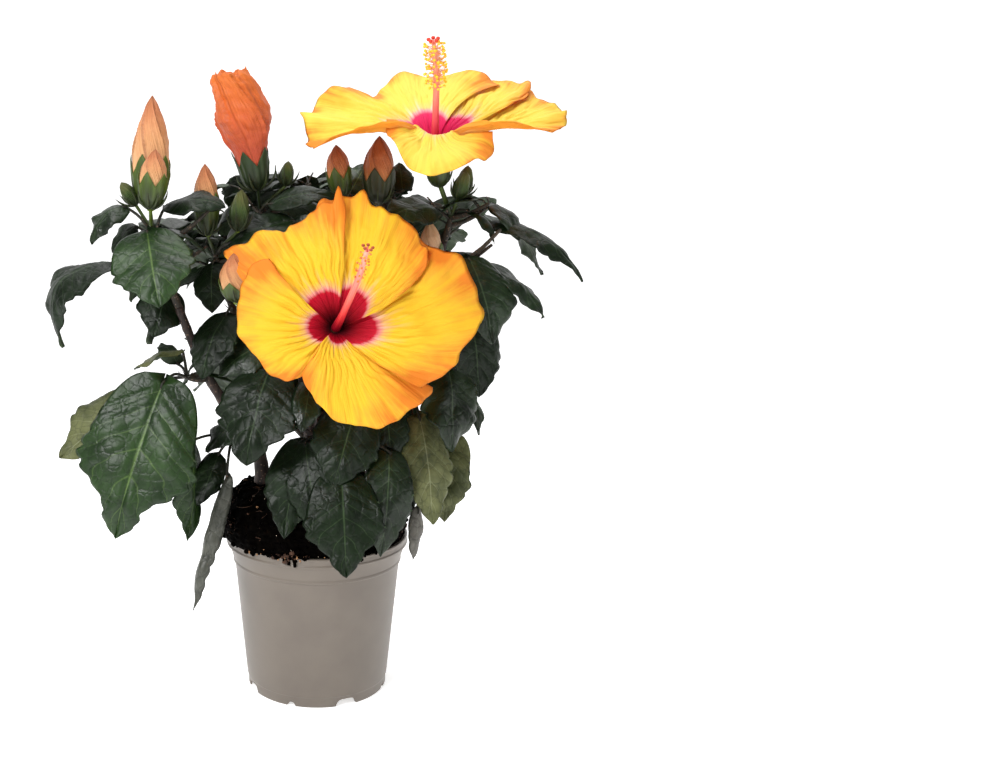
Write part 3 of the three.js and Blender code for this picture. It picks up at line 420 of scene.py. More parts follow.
# %% The leaves that were measured
# Each leaf: the two ends of its blade, its width, the way its face looks, its arch and fold as
# shares of its size, and the share of the stem where its stalk springs. Some end with how far
# the leaf is lobed, from 0 to 1, and the number of its leaf colour below.
masses = {
    "foliage_left_tip": dict(
        stem=[[-94, -20, 277], [-103, -23, 304], [-109, -26, 328]],
        leaves=[
            ([-135, -34, 309], [-167, -50, 254], 38, [-0.85, -0.3, 0.5], 0.3, 0.35, 0.4),
            ([-111, -42, 330], [-99, -80, 284], 52, [0, -0.8, 0.5], 0.08, 0.2, 0.9),
            ([-103, -6, 290], [-111, -26, 257], 32, [0.2, -0.9, 0.3], 0.12, 0.3, 0.5),
            ([-126, -33, 345], [-146, -43, 321], 20, [-0.6, -0.2, 0.8], 0.26, 0.3, 0.9),
            ([-121, -24, 332], [-138, -20, 314], 22, [-0.5, -0.7, 0.5], 0.1, 0.3, 0.8),
            ([-101, -18, 346], [-60, -34, 345], 26, [0, -0.5, 0.85], 0.12, 0.3, 0.97),
        ],
        buds=[dict(base=[-120, -28, 346], tip=[-129, -30, 361], wide=9, calyx=0.8, root=[-109, -26, 328])],
        space=([-115, 20, 305], [70, 80, 60]), twigs=2, facing=100,
    ),
    "foliage_left_low": dict(
        stem=[[-75, -14, 227], [-84, -22, 228], [-90, -24, 230]],
        leaves=[
            ([-102, -50, 231], [-132, -82, 133], 76, [-0.1, -0.9, 0.35], 0.08, 0.12, 1, 1.0),
            ([-92, -22, 248], [-122, -42, 238], 22, [-0.2, 0.1, 0.9], 0.1, 0.3, 0.9, 0.25, 5),
            ([-97, -12, 237], [-111, 12, 248], 16, [0.3, -0.6, 0.7], 0.1, 0.3, 0.8, 0.25, 3),
            # This leaf takes the pale olive green: painted light on a leaf that the crown shades.
            ([-128, -18, 212], [-177, -22, 172], 40, [0, -0.8, 0.6], 0.08, 0.2, 1, 0.3, 5),
        ],
        space=([-105, 20, 200], [70, 70, 60]), twigs=2, facing=140,
    ),
    "foliage_left_foot": dict(
        stem=[[-50, -6, 187], [-56, -14, 186], [-60, -20, 184]],
        leaves=[
            ([-86, -30, 186], [-88, -44, 119], 26, [0.7, -0.6, 0.2], 0.06, 0.5, 0.8),
            ([-51, -22, 199], [-75, -34, 179], 24, [-0.3, -0.5, 0.8], 0.14, 0.2, 0.5),
            ([-68, -26, 176], [-82, -40, 143], 20, [0.2, -0.9, 0.3], 0.1, 0.3, 1),
            ([-62, -40, 162], [-83, -66, 78], 24, [-0.6, -0.7, 0.2], 0.06, 0.9, 0.9, 0.0, 4),
        ],
        space=([-60, 10, 170], [50, 50, 40]), twigs=0, facing=180,
    ),
    "foliage_inner": dict(
        stem=[[-57, 2, 268], [-65, 2, 292], [-71, 2, 313]],
        leaves=[
            ([-72, -2, 306], [-72, -12, 272], 26, [-0.2, -0.9, 0.3], 0.1, 0.3, 0.9),
            ([-62, -18, 272], [-77, -42, 231], 34, [-0.4, -0.8, 0.4], 0.1, 0.2, 0.1),
            ([-60, -6, 320], [-15, 6, 334], 34, [-0.1, -0.6, 0.8], 0.1, 0.1, 0.95),
        ],
        space=([-70, 40, 290], [60, 60, 60]), twigs=2, facing=110,
    ),
    "foliage_centre_top": dict(
        stem=[[-36, 21, 318], [-39, 19, 331], [-40, 18, 342]],
        leaves=[
            ([-32, 8, 346], [16, 6, 350], 26, [0, -0.5, 0.85], 0.12, 0.2, 0.9),
            ([-30, 12, 330], [2, -4, 326], 30, [0.1, -0.6, 0.7], 0.1, 0.2, 0.5),
        ],
        buds=[dict(base=[-22, 20, 358], tip=[-20, 20, 375], wide=9, calyx=0.8, root=[-40, 18, 342])],
        space=([-35, 60, 330], [60, 60, 50]), twigs=1, facing=90,
    ),
    "foliage_middle_top": dict(
        stem=[[27, 29, 318], [30, 27, 329], [33, 25, 340]],
        leaves=[
            ([23, 28, 352], [35, 48, 372], 30, [0.2, -0.8, 0.6], 0.06, 0.2, 0.95),
            ([60, 20, 354], [58, 34, 374], 18, [0.1, -0.9, 0.3], 0.06, 0.2, 0.95),
            ([22, 12, 330], [8, -8, 318], 28, [-0.2, -0.7, 0.6], 0.1, 0.2, 0.5),
        ],
        space=([30, 70, 325], [60, 60, 50]), twigs=1, facing=80,
    ),
    "foliage_right_top": dict(
        stem=[[88, 8, 320], [91, 7, 330], [93, 6, 340]],
        leaves=[
            ([118, 4, 334], [178, -22, 294], 26, [0.4, -0.45, 0.8], 0.16, 0.3, 0.9),
            ([104, -6, 341], [119, -20, 320], 14, [0.5, -0.3, 0.8], 0.2, 0.4, 0.95),
            ([80, -8, 344], [44, -34, 336], 32, [0, -0.6, 0.75], 0.1, 0.2, 0.9),
            ([80, 18, 346], [48, 32, 344], 24, [0, -0.3, 0.9], 0.1, 0.2, 0.9),
        ],
        buds=[
            dict(base=[96, -2, 350], tip=[101, -8, 368], wide=10, calyx=0.8, root=[92, 6.5, 334]),
            dict(base=[101, 8, 352], tip=[104, 8, 372], wide=10, calyx=0.8, root=[92, 7, 336]),
        ],
        space=([110, 45, 325], [65, 70, 50]), twigs=2, facing=60,
    ),
    "foliage_right_side": dict(
        stem=[[80, 11, 292], [91, 2, 300], [98, -6, 306]],
        leaves=[
            ([102, -24, 311], [115, -52, 256], 46, [0.3, -0.85, 0.4], 0.1, 0.15, 0.95),
            ([114, -12, 306], [152, -30, 271], 26, [0.3, -0.3, 0.85], 0.12, 0.25, 0.95),
            ([106, 2, 268], [112, -18, 214], 42, [0.4, -0.8, 0.3], 0.1, 0.2, 0.5),
        ],
        space=([110, 40, 275], [60, 75, 60]), twigs=2, facing=40,
    ),
    "foliage_right_low": dict(
        stem=[[38, 15, 226], [52, 4, 222], [66, -4, 220]],
        leaves=[
            ([70, -28, 203], [78, -54, 134], 36, [0.2, -0.9, 0.3], 0.08, 0.35, 0.9, 0.25, 5),
            ([94, -12, 186], [88, -30, 128], 32, [-0.4, -0.85, 0.2], 0.08, 0.35, 1, 0.25, 5),
            ([58, -26, 188], [66, -36, 138], 26, [0.2, -0.9, 0.2], 0.08, 0.3, 0.7, 0.25, 1),
            ([90, -20, 236], [90, -44, 182], 40, [0.3, -0.85, 0.4], 0.1, 0.2, 1),
        ],
        space=([80, 35, 205], [60, 65, 60]), twigs=2, facing=40,
    ),
    # Leaves with colour 1 here and in the next mass take the darkest green: painted shade under the front
    # bloom.
    "foliage_front": dict(
        stem=[[4, -26, 224], [-4, -30, 232], [-12, -32, 238]],
        leaves=[
            ([-32, -46, 238], [-46, -74, 180], 52, [-0.2, -0.85, 0.45], 0.1, 0.12, 1, 0.6, 1),
            ([-36, -28, 254], [-66, -36, 232], 34, [-0.3, -0.7, 0.6], 0.1, 0.2, 1),
            ([-5, -56, 232], [-10, -74, 202], 20, [0.2, -0.9, 0.2], 0.08, 0.3, 0.6),
            ([26, -44, 214], [10, -70, 164], 44, [0.1, -0.85, 0.4], 0.08, 0.15, 0.2, 0.25, 1),
        ],
        space=([0, -20, 230], [40, 30, 30]), twigs=0, facing=-90,
    ),
    "foliage_front_low": dict(
        stem=[[-5, 8, 172], [6, -20, 184], [14, -36, 190]],
        leaves=[
            ([-10, -44, 190], [-22, -70, 130], 36, [-0.1, -0.9, 0.4], 0.1, 0.15, 0.8, 0.25, 1),
            ([16, -64, 172], [19, -90, 110], 48, [0, -0.9, 0.4], 0.1, 0.12, 1, 0.6, 1),
            ([48, -50, 184], [42, -74, 118], 34, [0.2, -0.9, 0.4], 0.1, 0.15, 0.9, 0.25, 0),
        ],
        space=([10, -40, 170], [40, 30, 30]), twigs=0, facing=-90,
    ),
    "foliage_back_left": dict(
        stem=[[-56, 76, 262], [-66, 86, 288], [-72, 92, 312]], leaves=[],
        space=([-85, 95, 275], [90, 85, 90]), twigs=4, facing=130,
    ),
    "foliage_back_right": dict(
        stem=[[58, 80, 268], [70, 90, 292], [76, 96, 316]], leaves=[],
        space=([90, 95, 275], [90, 85, 90]), twigs=4, facing=50,
    ),
    "foliage_back_top": dict(
        stem=[[6, 78, 290], [8, 88, 318], [8, 92, 344]], leaves=[],
        space=([5, 100, 310], [80, 80, 80]), twigs=4, facing=90,
    ),
    "foliage_back_low_left": dict(
        stem=[[-5, 8, 176], [-28, 42, 192], [-48, 66, 204]], leaves=[],
        space=([-55, 85, 185], [80, 75, 65]), twigs=3, facing=140,
    ),
    "foliage_back_low_right": dict(
        stem=[[-5, 8, 180], [26, 40, 196], [46, 64, 208]], leaves=[],
        space=([60, 80, 190], [80, 75, 65]), twigs=3, facing=40,
    ),
}
print(len(masses), "masses,", sum(len(mass["leaves"]) for mass in masses.values()), "measured leaves")


# %% The blooms and the buds
def petals_of(start, rows):
    """Petals counted clockwise, the first rooted at the start turn and each next one 72 degrees on."""
    plain = dict(lift=0, waist=0, peaks=(), corners=(0, 0), curls=(0, 0), tilt=0, hump=0, cupped=0,
                 calm=1, drawn_in=0)
    return [plain | row | dict(root=start - 72 * k, phase=1.7 * k) for k, row in enumerate(rows)]


blooms = {
    "bloom_front": dict(
        throat_base=[12, -58, 262], axis=[0.06, -0.9, 0.42], throat=(20, 34), spread_height=18, waves=2.2,
        column=[[12, -58, 262], [17, -76, 281], [25, -94, 303], [31, -104, 325]],
        calyx=[[8, -36, 236], [9, -44, 246], [11, -52, 256], [12.5, -62, 264]], root=[4, -26, 223],
        petals=petals_of(126, [
            dict(turn=119, spread=32, reaches=[84, 79, 76, 83, 82]),
            dict(turn=66, spread=34, reaches=[68, 85, 85, 93, 90]),
            dict(turn=8, spread=44, reaches=[64, 79, 94, 93, 86]),
            dict(turn=-78, spread=48, reaches=[37, 54, 64, 70, 72]),
            dict(turn=-173, spread=52, reaches=[72, 65, 62, 51, 38]),
        ]),
    ),
    "bloom_top": dict(
        throat_base=[79, -10, 381], axis=[-0.02, -0.42, 0.9], throat=(22, 26), spread_height=16, waves=2.6,
        column=[[79, -10, 381], [78, -21, 404], [77, -32, 428], [76, -42, 451]],
        calyx=[[84, -3, 358], [82, -5, 366], [80, -8, 374], [79, -11, 384]], root=[93, 6, 337],
        petals=petals_of(110, [
            dict(turn=93, spread=42, reaches=[80, 88, 93, 80, 64], lift=5),
            dict(turn=66, spread=34, reaches=[82, 102, 80, 78, 74], lift=4),
            dict(turn=18, spread=38, reaches=[74, 84, 94, 95, 88], lift=1, waist=0.25),
            dict(turn=-97, spread=72, reaches=[34, 42, 62, 51, 39], lift=-4),
            dict(turn=-200, spread=34, reaches=[86, 90, 90, 88, 86], waist=0.2),
        ]),
    ),
}

buds = {
    "bud_tall": dict(base=[-111, -26, 345], tip=[-108, -22, 417], wide=24, calyx=0.42, root=[-109, -26, 328]),
    "bud_second": dict(
        base=[-108, -45, 344], tip=[-104, -42, 382], wide=17, calyx=0.55,
        root=[-109, -26, 328], via=[[-109, -37, 334]],
    ),
    "bud_small": dict(base=[-75, -5, 325], tip=[-76, -5, 373], wide=16, calyx=0.55, root=[-71, 1, 312]),
    "bud_green": dict(base=[-56, -8, 332], tip=[-53, -8, 356], wide=10, calyx=0.8, root=[-70, 2, 313]),
    "bud_opening": dict(
        base=[-41, 10, 355], tip=[-55, 0, 435], wide=26, calyx=0.32, root=[-40, 18, 341],
        furled=[(0.06, 1.02), (0.4, 1.4), (0.72, 1.2), (1, 0.7)],
    ),
    "bud_red": dict(base=[17, 15, 350], tip=[13, 12, 386], wide=16, calyx=0.55, root=[31, 25, 338]),
    "bud_dark": dict(base=[43, 15, 346], tip=[43, 12, 392], wide=21, calyx=0.5, root=[33, 25, 340]),
    "bud_behind": dict(base=[80, -6, 302], tip=[76, -10, 335], wide=14, calyx=0.5, root=[86, 9, 312]),
    "bud_side": dict(
        base=[-52, -45, 284], tip=[-54, -52, 316], wide=20, calyx=0.45,
        root=[-57, 2, 268], via=[[-54, -20, 270]],
    ),
}
print(len(blooms), "blooms and", len(buds), "buds")

# %% [markdown]
# ## The pot
#
# A nursery pot is a thin moulded cup: a tapering wall, a band that widens over a thin bead, and an
# upright lip to stack by. It is turned from one profile, so it is a surface of revolution: the
# radius depends only on the height. Only its lower edge isn't round, as drain notches are cut up
# into it, so there the height of the lowest rings follows the notches. Sharp corners are traded for
# short curves, because a moulded edge that catches the light is what makes plastic look real.

# %% The pot's profile
pot_height, rim_radius, rim_depth = 113, 65, 6
bead_height, bead_radius, foot_radius, pot_wall = 95, 60.2, 50.3, 1.4
base_height, pot_sides, corner_steps = 5.5, 288, 4
notch_angles = [-66, -156, 114, 24]
big_notch, small_notch, small_notch_turn = (15, 5), (5, 3), 45


def rounded(profile, cut):
    """Each inner corner becomes a quadratic curve that starts and ends cut mm away from it."""
    profile = np.asarray(profile, float)
    made = [profile[:1]]
    t = np.linspace(0, 1, corner_steps)[:, None]
    for before, corner, after in zip(profile, profile[1:], profile[2:]):
        ways = [other - corner for other in (before, after)]
        enter, leave = (corner + way * min(0.45, cut / np.linalg.norm(way)) for way in ways)
        made.append((1 - t) ** 2 * enter + 2 * t * (1 - t) * corner + t**2 * leave)
    return np.concatenate(made + [profile[-1:]])


def notch_line(turn):
    """The wall's lower edge: a squarish arch, high x (1 - (off / half width)^4)^(1/2), at each notch."""
    height = np.zeros_like(turn)
    for angle in notch_angles:
        for middle, (wide, high) in ((angle, big_notch), (angle + small_notch_turn, small_notch)):
            off = (turn - np.radians(middle) + np.pi) % (2 * np.pi) - np.pi
            share = np.abs(off) * foot_radius / (wide / 2)
            height = np.maximum(height, high * np.sqrt(np.clip(1 - share**4, 0, 1)))
    return height


def revolved(profile, turn, raised):
    """The profile carried round; its raised rows keep above the line of the notches."""
    radius, height = profile[:, :1], profile[:, 1:] * np.ones(len(turn))
    for row in raised:
        height[row] = np.maximum(height[row], notch_line(turn))
    return polar(radius, turn, height)


def pot_form():
    """The rings run from under the base to the foot, up the outside, over the lip and down inside."""
    lip, base_top = pot_height - rim_depth, base_height + pot_wall + 0.1
    inner_foot, inner_bead = foot_radius - pot_wall, bead_radius - pot_wall
    outside = rounded([
        [foot_radius, 5], [foot_radius + 0.3, 7], [foot_radius + 0.8, 7.6],
        [bead_radius - 0.9, bead_height - 1.4], [bead_radius + 0.35, bead_height - 1],
        [bead_radius + 0.35, bead_height + 0.6], [bead_radius + 0.1, bead_height + 1.2],
        [rim_radius - 1.7, lip - 0.8], [rim_radius, lip - 0.3], [rim_radius, lip + 0.9],
        [rim_radius - 0.5, lip + 1.4], [rim_radius - 0.4, pot_height - 1.6], [rim_radius, pot_height - 1.1],
        [rim_radius - 0.2, pot_height], [rim_radius - 2 * pot_wall, pot_height],
        [inner_bead, bead_height + 2], [inner_bead - 1, bead_height - 1], [inner_foot, base_top],
    ], 0.5)
    tall = np.linspace(0, 1, 12)[1:-1, None]
    wall = outside[8] * (1 - tall) + outside[9] * tall
    under = [[1, base_height], [inner_foot - 0.4, base_height], [inner_foot, base_height - 0.3]]
    foot = [[inner_foot, 0], [foot_radius - 0.4, 0], [foot_radius, 0.5]]
    profile = np.concatenate([under, foot, outside[:9], wall, outside[9:], [[1, base_top]]])
    return closed_rings(revolved(profile, turns(pot_sides), raised=(3, 4, 5)))


# %% Make the pot
def plastic():
    """Moulded polypropylene: satin, so the light runs down the wall in one soft streak that shows it
    is round, with faint cloudy flow marks and a fine grain."""
    material, tree = start_material("pot plastic, grey-beige", "#736a61", 0.4)
    place = add(tree, "TexCoord", out="Object")
    cloud = add(tree, "TexNoise", {"Vector": place, "Scale": per(25), "Detail": 3})
    tone = add(tree, "ValToRGB", (cloud,), [(0.3, "#6a6158"), (0.7, "#71685e")])
    grain = add(tree, "TexNoise", {"Vector": place, "Scale": per(0.7), "Detail": 2})
    bump = add(tree, "Bump", {"Height": grain, "Strength": 0.25, "Distance": 0.06 * MM})
    return finish_material(material, Base_Color=tone, Normal=bump)


piece("nursery_pot", pot_form(), [plastic()], "pot_plastic", ["pot"])

# %% [markdown]
# ## The root ball
#
# The plant was lifted into a larger pot, so its old root ball stands proud of the rim as a loaf of
# peat. Peat is nearly black, with crumbs of every size, fibres, and a few pale specks; here it is
# made darker still, which paints the shade that the crown casts on it. The loaf is a dome whose
# skin is pushed in and out by three sizes of smooth noise. More than a thousand loose crumbs lie on
# it, each the same small lump turned, stretched and dented at random: that is what breaks up the
# outline, which noise in the colour alone could never do.

# %% The loaf's form
# The loaf's profile: the radius, the height, and how much of the bulge it takes up.
mound = np.array([
    [rim_radius - 6, 110, 0.6], [rim_radius - 3, 114, 1], [rim_radius - 1, 125, 1],
    [rim_radius - 4, 137, 0.8], [rim_radius - 14, 146, 0.3], [rim_radius - 33, 151, 0],
    [rim_radius - 50, 152.6, 0], [0.5, 153, 0],
])
bulge_size = 6


def on_mound(share, turn):
    """The dome at a share of its way up and a turn: a smooth profile, wider by the bulge on the left."""
    radius, height, swell = np.moveaxis(spline(mound, share), -1, 0)
    reach = radius + swell * bulge_size * np.maximum(0, -np.cos(turn))
    return polar(reach, turn, height)


def crumbly(points):
    """Pushes points away from the pot's axis by three sizes of noise, less below the rim."""
    out = unit(points - [0, 0, 90])
    push = 1.5 * rough(points, 13, 1) + 1.1 * rough(points, 5, 2) + 0.7 * rough(points, 2.4, 3)
    push = push * np.clip((points[..., 2] - 112) / 8, 0.1, 1) - 0.3
    return points + push[..., None] * out


print("the loaf stands", mound[-1, 1] - pot_height, "mm proud of the rim")


# %% A lump and its copies
def lump(rows=3, sides=6):
    """A rough ball of few faces: rings at a few latitudes, closed by a fan at each end."""
    latitude = np.linspace(-0.9, 0.9, rows)[:, None]
    return closed_rings(polar(np.cos(latitude), turns(sides) + 0.3 * latitude, np.sin(latitude)))


def copies(form, places, frames, slots, dent=0.0, seed=0):
    """The form at every place, its axes turned and stretched to each frame's three columns, and
    each point moved in or out by a seeded share up to dent."""
    random = np.random.default_rng(seed)
    count, size = len(places), len(form["points"])
    uneven = 1 + dent * random.uniform(-1, 1, (count, size, 1))
    points = np.einsum("nij,npj->npi", frames, form["points"] * uneven) + places[:, None]
    shift = (np.arange(count) * size)[:, None]
    return {
        "points": points.reshape(-1, 3),
        "corners": (form["corners"] + shift).ravel(),
        "sizes": np.tile(form["sizes"], count),
        "uv": np.tile(form["uv"], (count, 1)),
        "slots": np.repeat(np.broadcast_to(slots, count), len(form["sizes"])),
    }


def tumbled(random, sizes, flat=0.7):
    """Random frames: three square axes of a random turn, stretched unevenly to each size."""
    spun = np.linalg.qr(random.normal(size=(len(sizes), 3, 3)))[0]
    spun *= np.sign(np.linalg.det(spun))[:, None, None]
    return spun * (sizes[:, None] * random.uniform(flat, 1.15, (len(sizes), 3)))[:, None]


print("a lump has", len(lump()["sizes"]), "faces")


# %% Peat materials and the loaf
def peat(name, stops, size, **sockets):
    """A matt crumbly stuff whose tones change over patches of the given size in millimetres."""
    material, tree = start_material(name, stops[0][1], 0.85, **sockets)
    place = add(tree, "TexCoord", out="Object")
    patch = add(tree, "TexNoise", {"Vector": place, "Scale": per(size), "Detail": 6})
    tone = add(tree, "ValToRGB", (patch,), stops)
    bump = add(tree, "Bump", {"Height": patch, "Strength": 0.8, "Distance": 0.2 * size * MM})
    return finish_material(material, Base_Color=tone, Normal=bump)


# Damp peat takes in nearly all light, and its near-black here is also painted shade from the
# crown, so the loaf reads as a dark hollow under the leaves.
peat_with_painted_shade = peat("peat, moist, with painted shade", [(0.35, "#010000"), (0.6, "#030201"), (0.8, "#100804")], 4,
                  Specular_IOR_Level=0.02)
# Bark, grit and husks are the paler things mixed into it, which show the eye how fine it is.
bark_crumb = peat("bark crumb, brown", [(0.3, "#24140b"), (0.7, "#54341e")], 1.5)
pale_grit = peat("pale grit", [(0.3, "#a89a84"), (0.7, "#e2d8c4")], 1)
golden_husk = peat("golden husk", [(0.3, "#84583a"), (0.7, "#b88c60")], 1)

mound_rows, mound_columns = 90, 264
mound_skin = closed_rings(crumbly(on_mound(*grid(np.linspace(0, 1, mound_rows), turns(mound_columns)))))
piece("peat_loaf", mound_skin, [peat_with_painted_shade], "peat", ["root_ball"])

# %% Crumbs and root fibres
crumb_count, fibre_count = 1100, 130
peat_random = np.random.default_rng(7)
crumb_share = peat_random.uniform(0.1, 0.9, crumb_count)
crumb_turn = peat_random.uniform(0, 2 * np.pi, crumb_count)
crumb_size = 0.7 + 2.0 * peat_random.uniform(0, 1, crumb_count) ** 3
crumb_place = crumbly(on_mound(crumb_share, crumb_turn))
# The kinds are the four stuffs above, in their order; grit and husks are the smaller ones.
crumb_kind = peat_random.choice(4, crumb_count, p=[0.86, 0.09, 0.025, 0.025])
crumb_size *= np.where(crumb_kind > 1, 0.45, 1)

# Little heaps that spilled over the lip: the turn of each, how far it spreads, and its crumbs.
heaps = [
    (203, 3, 40), (227, 3.5, 110), (253, 5, 190), (238, 9, 30),
    (300, 7, 30), (120, 5, 24), (55, 6, 24), (15, 4, 14),
]
heap_turn = np.radians(np.concatenate([peat_random.normal(*heap) for heap in heaps]))
heap_out = peat_random.beta(1.4, 2.2, len(heap_turn))
heap_reach = rim_radius - 2.6 + 3.6 * heap_out
heap_fall = 7 * np.clip(heap_out - 0.6, 0, 1) / 0.4 * peat_random.uniform(0.3, 1, len(heap_turn))
heap_height = pot_height + 1.2 - heap_fall
heap_place = polar(heap_reach, heap_turn, heap_height)
heap_kind = peat_random.choice(4, len(heap_turn), p=[0.62, 0.16, 0.04, 0.18])
heap_size = peat_random.uniform(0.7, 1.7, len(heap_turn)) * np.where(heap_kind > 1, 0.6, 1)
crumb_form = copies(lump(), np.concatenate([crumb_place, heap_place]),
                    tumbled(peat_random, np.concatenate([crumb_size, heap_size])),
                    np.concatenate([crumb_kind, heap_kind]), 0.22, 8)
piece("peat_crumbs", crumb_form, [peat_with_painted_shade, bark_crumb, pale_grit, golden_husk], "peat", ["root_ball"])


def fibre(random):
    """A root hair: a thin tube that wanders over the loaf from one place to another nearby."""
    share, turn = random.uniform(0.2, 0.85), random.uniform(0, 2 * np.pi)
    steps = np.cumsum(random.normal(0, 1, (5, 2)), axis=0) * [0.02, 0.05]
    path = crumbly(on_mound(share + steps[:, 0], turn + steps[:, 1]))
    path = path + random.uniform(0.2, 0.9, (5, 1)) * [0, 0, 1]
    return tube(path, [0.12, 0.2, 0.22, 0.18, 0.1], 4)


fibres = joined([fibre(peat_random) for _ in range(fibre_count)])
piece("peat_fibres", fibres, [bark_crumb], "peat", ["root_ball"])

# %% [markdown]
# ## Trunk, stems and boughs
#
# Each limb is a tube along its path with a ring every millimetre or so. Young hibiscus bark is
# nearly smooth: shallow furrows run along the limb, and a low swelling marks each old leaf joint.
# Both are real relief, made by scaling every ring point's radius. The bark goes from grey-brown
# at the foot to purple-brown, with small pale dots where the bark breathes.

# %% Make the limbs
joint_spacing, joint_swell, furrow_depth = 17, 0.12, 0.07


def bark_relief(path, shares, sides):
    """The radius as a share: 1 + furrow depth x noise drawn out along the limb + a bump at joints."""
    furrow = rough((path[:, None] + polar(4, turns(sides), 0)) * [1, 1, 0.3], 2.6, 5)
    length = np.linalg.norm(np.diff(path, axis=0), axis=1).sum()
    off = (shares * length + 4) % joint_spacing - joint_spacing / 2
    return 1 + furrow_depth * furrow + joint_swell * bell(off, 0, 1.8)[:, None]


def bark(name, low, high):
    """Bark between two browns in streaks along the limb, with pale breathing dots 0.7 mm across."""
    material, tree = start_material(name, low, 0.65)
    place = add(tree, "TexCoord", out="Object")
    drawn = add(tree, "Mapping", {"Vector": place, "Scale": (1, 1, 0.3)})
    streak = add(tree, "TexNoise", {"Vector": drawn, "Scale": per(2.5), "Detail": 5})
    tone = add(tree, "ValToRGB", (streak,), [(0.35, low), (0.68, high)])
    dots = add(tree, "TexVoronoi", {"Vector": place, "Scale": per(2.6)}, out="Distance")
    dot_mask = add(tree, "ValToRGB", (dots,), [(0.16, "#ffffff"), (0.22, "#000000")])
    mixed = add(tree, "Mix", {0: dot_mask, 6: tone, 7: linear("#75604f")}, out=2, data_type="RGBA")
    bump = add(tree, "Bump", {"Height": streak, "Strength": 0.6, "Distance": 0.5 * MM})
    return finish_material(material, Base_Color=mixed, Normal=bump)


# Old bark is greyer and the boughs' bark more purple, which tells the older wood from the newer.
old_bark = bark("bark, old grey-brown", "#190f0d", "#413029")
young_bark = bark("bark, young purple-brown", "#190d0c", "#3e2420")
limb_forms = [
    limb_tube(points, radii, 1.2, 16, int(name not in ("trunk", "stem_left")), bark_relief)
    for name, (points, radii) in limbs.items()
]
piece("trunk_and_boughs", joined(limb_forms), [old_bark, young_bark], "bark", list(limbs))

# %% [markdown]
# ## Petals as surfaces
#
# A hibiscus bloom is a funnel that opens into five broad petals, each with one edge over its
# neighbour. A point on a petal has two numbers: the share of the way from the throat to the
# margin, and how far across the petal it is, from -1 to 1. Both go into one formula in the
# bloom's own frame, so a petal's outline is just the reach of its margin at each place across.
# The frill is a wave that only grows near the margin, as there the petal has more edge than room.

# %% The petal's formula
petal_overlap, petal_ruffle, root_spread = 4, 3, 44


def bloom_frame(bloom):
    """Three square ways in columns: to the right, up and back, and along the bloom's axis."""
    axis = unit(np.array(bloom["axis"], float))
    right = unit(np.array([1.0, 0, 0]) - axis[0] * axis)
    return np.stack([right, np.cross(axis, right), axis], 1)


def petal_place(bloom, petal, share, across):
    """Outwards 3(1-s)^2 + 2s(1-s) throat + s^2 reach, up 2s(1-s) funnel + s^2 height, less the
    overlap across and plus the ruffle; the turn spreads about a middle that moves from root to turn.
    The reach gains a bell curve for each peak and loses a share at each rounded corner, and the
    height gains a curled edge, a tilt across, a hump over the throat and a cupped outer part."""
    s = share
    middle = petal["root"] + s * (petal["turn"] - petal["root"])
    spread = (root_spread + s * (petal["spread"] - root_spread)) * (1 - petal["waist"] * np.sin(np.pi * s))
    turn = np.radians(middle + across * spread)
    wave = np.sin(bloom["waves"] * across * 3 + petal["phase"])
    reach = spline(np.array(petal["reaches"], float)[:, None], (across + 1) / 2)[..., 0]
    for place, wide, rise in petal["peaks"]:
        reach = reach + rise * bell(across, place, wide) * s**4
    first, last = np.clip(-across, 0, 1), np.clip(across, 0, 1)
    corners, curls = petal["corners"], petal["curls"]
    reach = reach * (1 - corners[0] * first**10 - corners[1] * last**10)
    bow = 2 * s * (1 - s)
    outward = 3 * (1 - s) ** 2 + bow * bloom["throat"][0] + s**2 * reach
    height = bow * bloom["throat"][1] + s**2 * (bloom["spread_height"] + petal["lift"])
    height = height - petal_overlap * across * s + petal_ruffle * wave * s**3
    height = height + 2 * bow * (curls[0] * first**2.5 + curls[1] * last**2.5)
    height = height - petal["tilt"] * across * s**3 + petal["cupped"] * across**2 * s**2
    height = height + petal["hump"] * bell(s, 0.3, 0.14)
    return bloom["throat_base"] + polar(outward, turn, height) @ bloom_frame(bloom).T


# %% [markdown]
# ## The rule that grows the foliage
#
# The solids' foliage was grown by a seeded rule, and repeating that rule with the same seed gives
# the same twigs and leaves in the same places. Twigs fan out about the way their mass faces, leaves
# follow each other at golden-angle turns, and each leaf tries up to sixteen turns until it finds
# one where it is inside its mass's space, clear of all that stands, and out of the openings where
# the background shows through the crown. Draws come from a plain linear congruence, which any
# language works out the same way.

# %% The rule's numbers and its leaf
golden_angle, leaf_room, leaf_tries, leaves_on_each, seed = 137.5, 8, 16, 3, 11
measured_steps, seeded_steps, outline_peak = 6, 4, 0.373
probe_share, probe_across = np.repeat([0.1, 0.3, 0.5, 0.7, 0.9], 3), np.tile([-0.85, 0, 0.85], 5)

# The openings, as the camera sees them: from left to right and from low to high, in millimetres
# at the pot's own distance.
openings = [
    (-400, -165, 0, 500), (-400, -136, 318, 500), (-400, -130, 212, 280), (-133, -97, 223, 253),
    (-400, -60, 0, 136), (-93, -66, 268, 282), (-400, 400, 368, 500), (141, 400, 0, 248),
    (100, 126, 310, 334), (109, 400, 0, 169), (-83, -71, 180, 212), (129, 400, 340, 500),
    (165, 400, 0, 500), (85, 400, 0, 115),
]


def seeded_draws(state):
    """Each state is (1664525 x the last one + 1013904223) mod 2^32, and its draw that over 2^32."""
    while True:
        state = (state * 1664525 + 1013904223) % 4294967296
        yield state / 4294967296


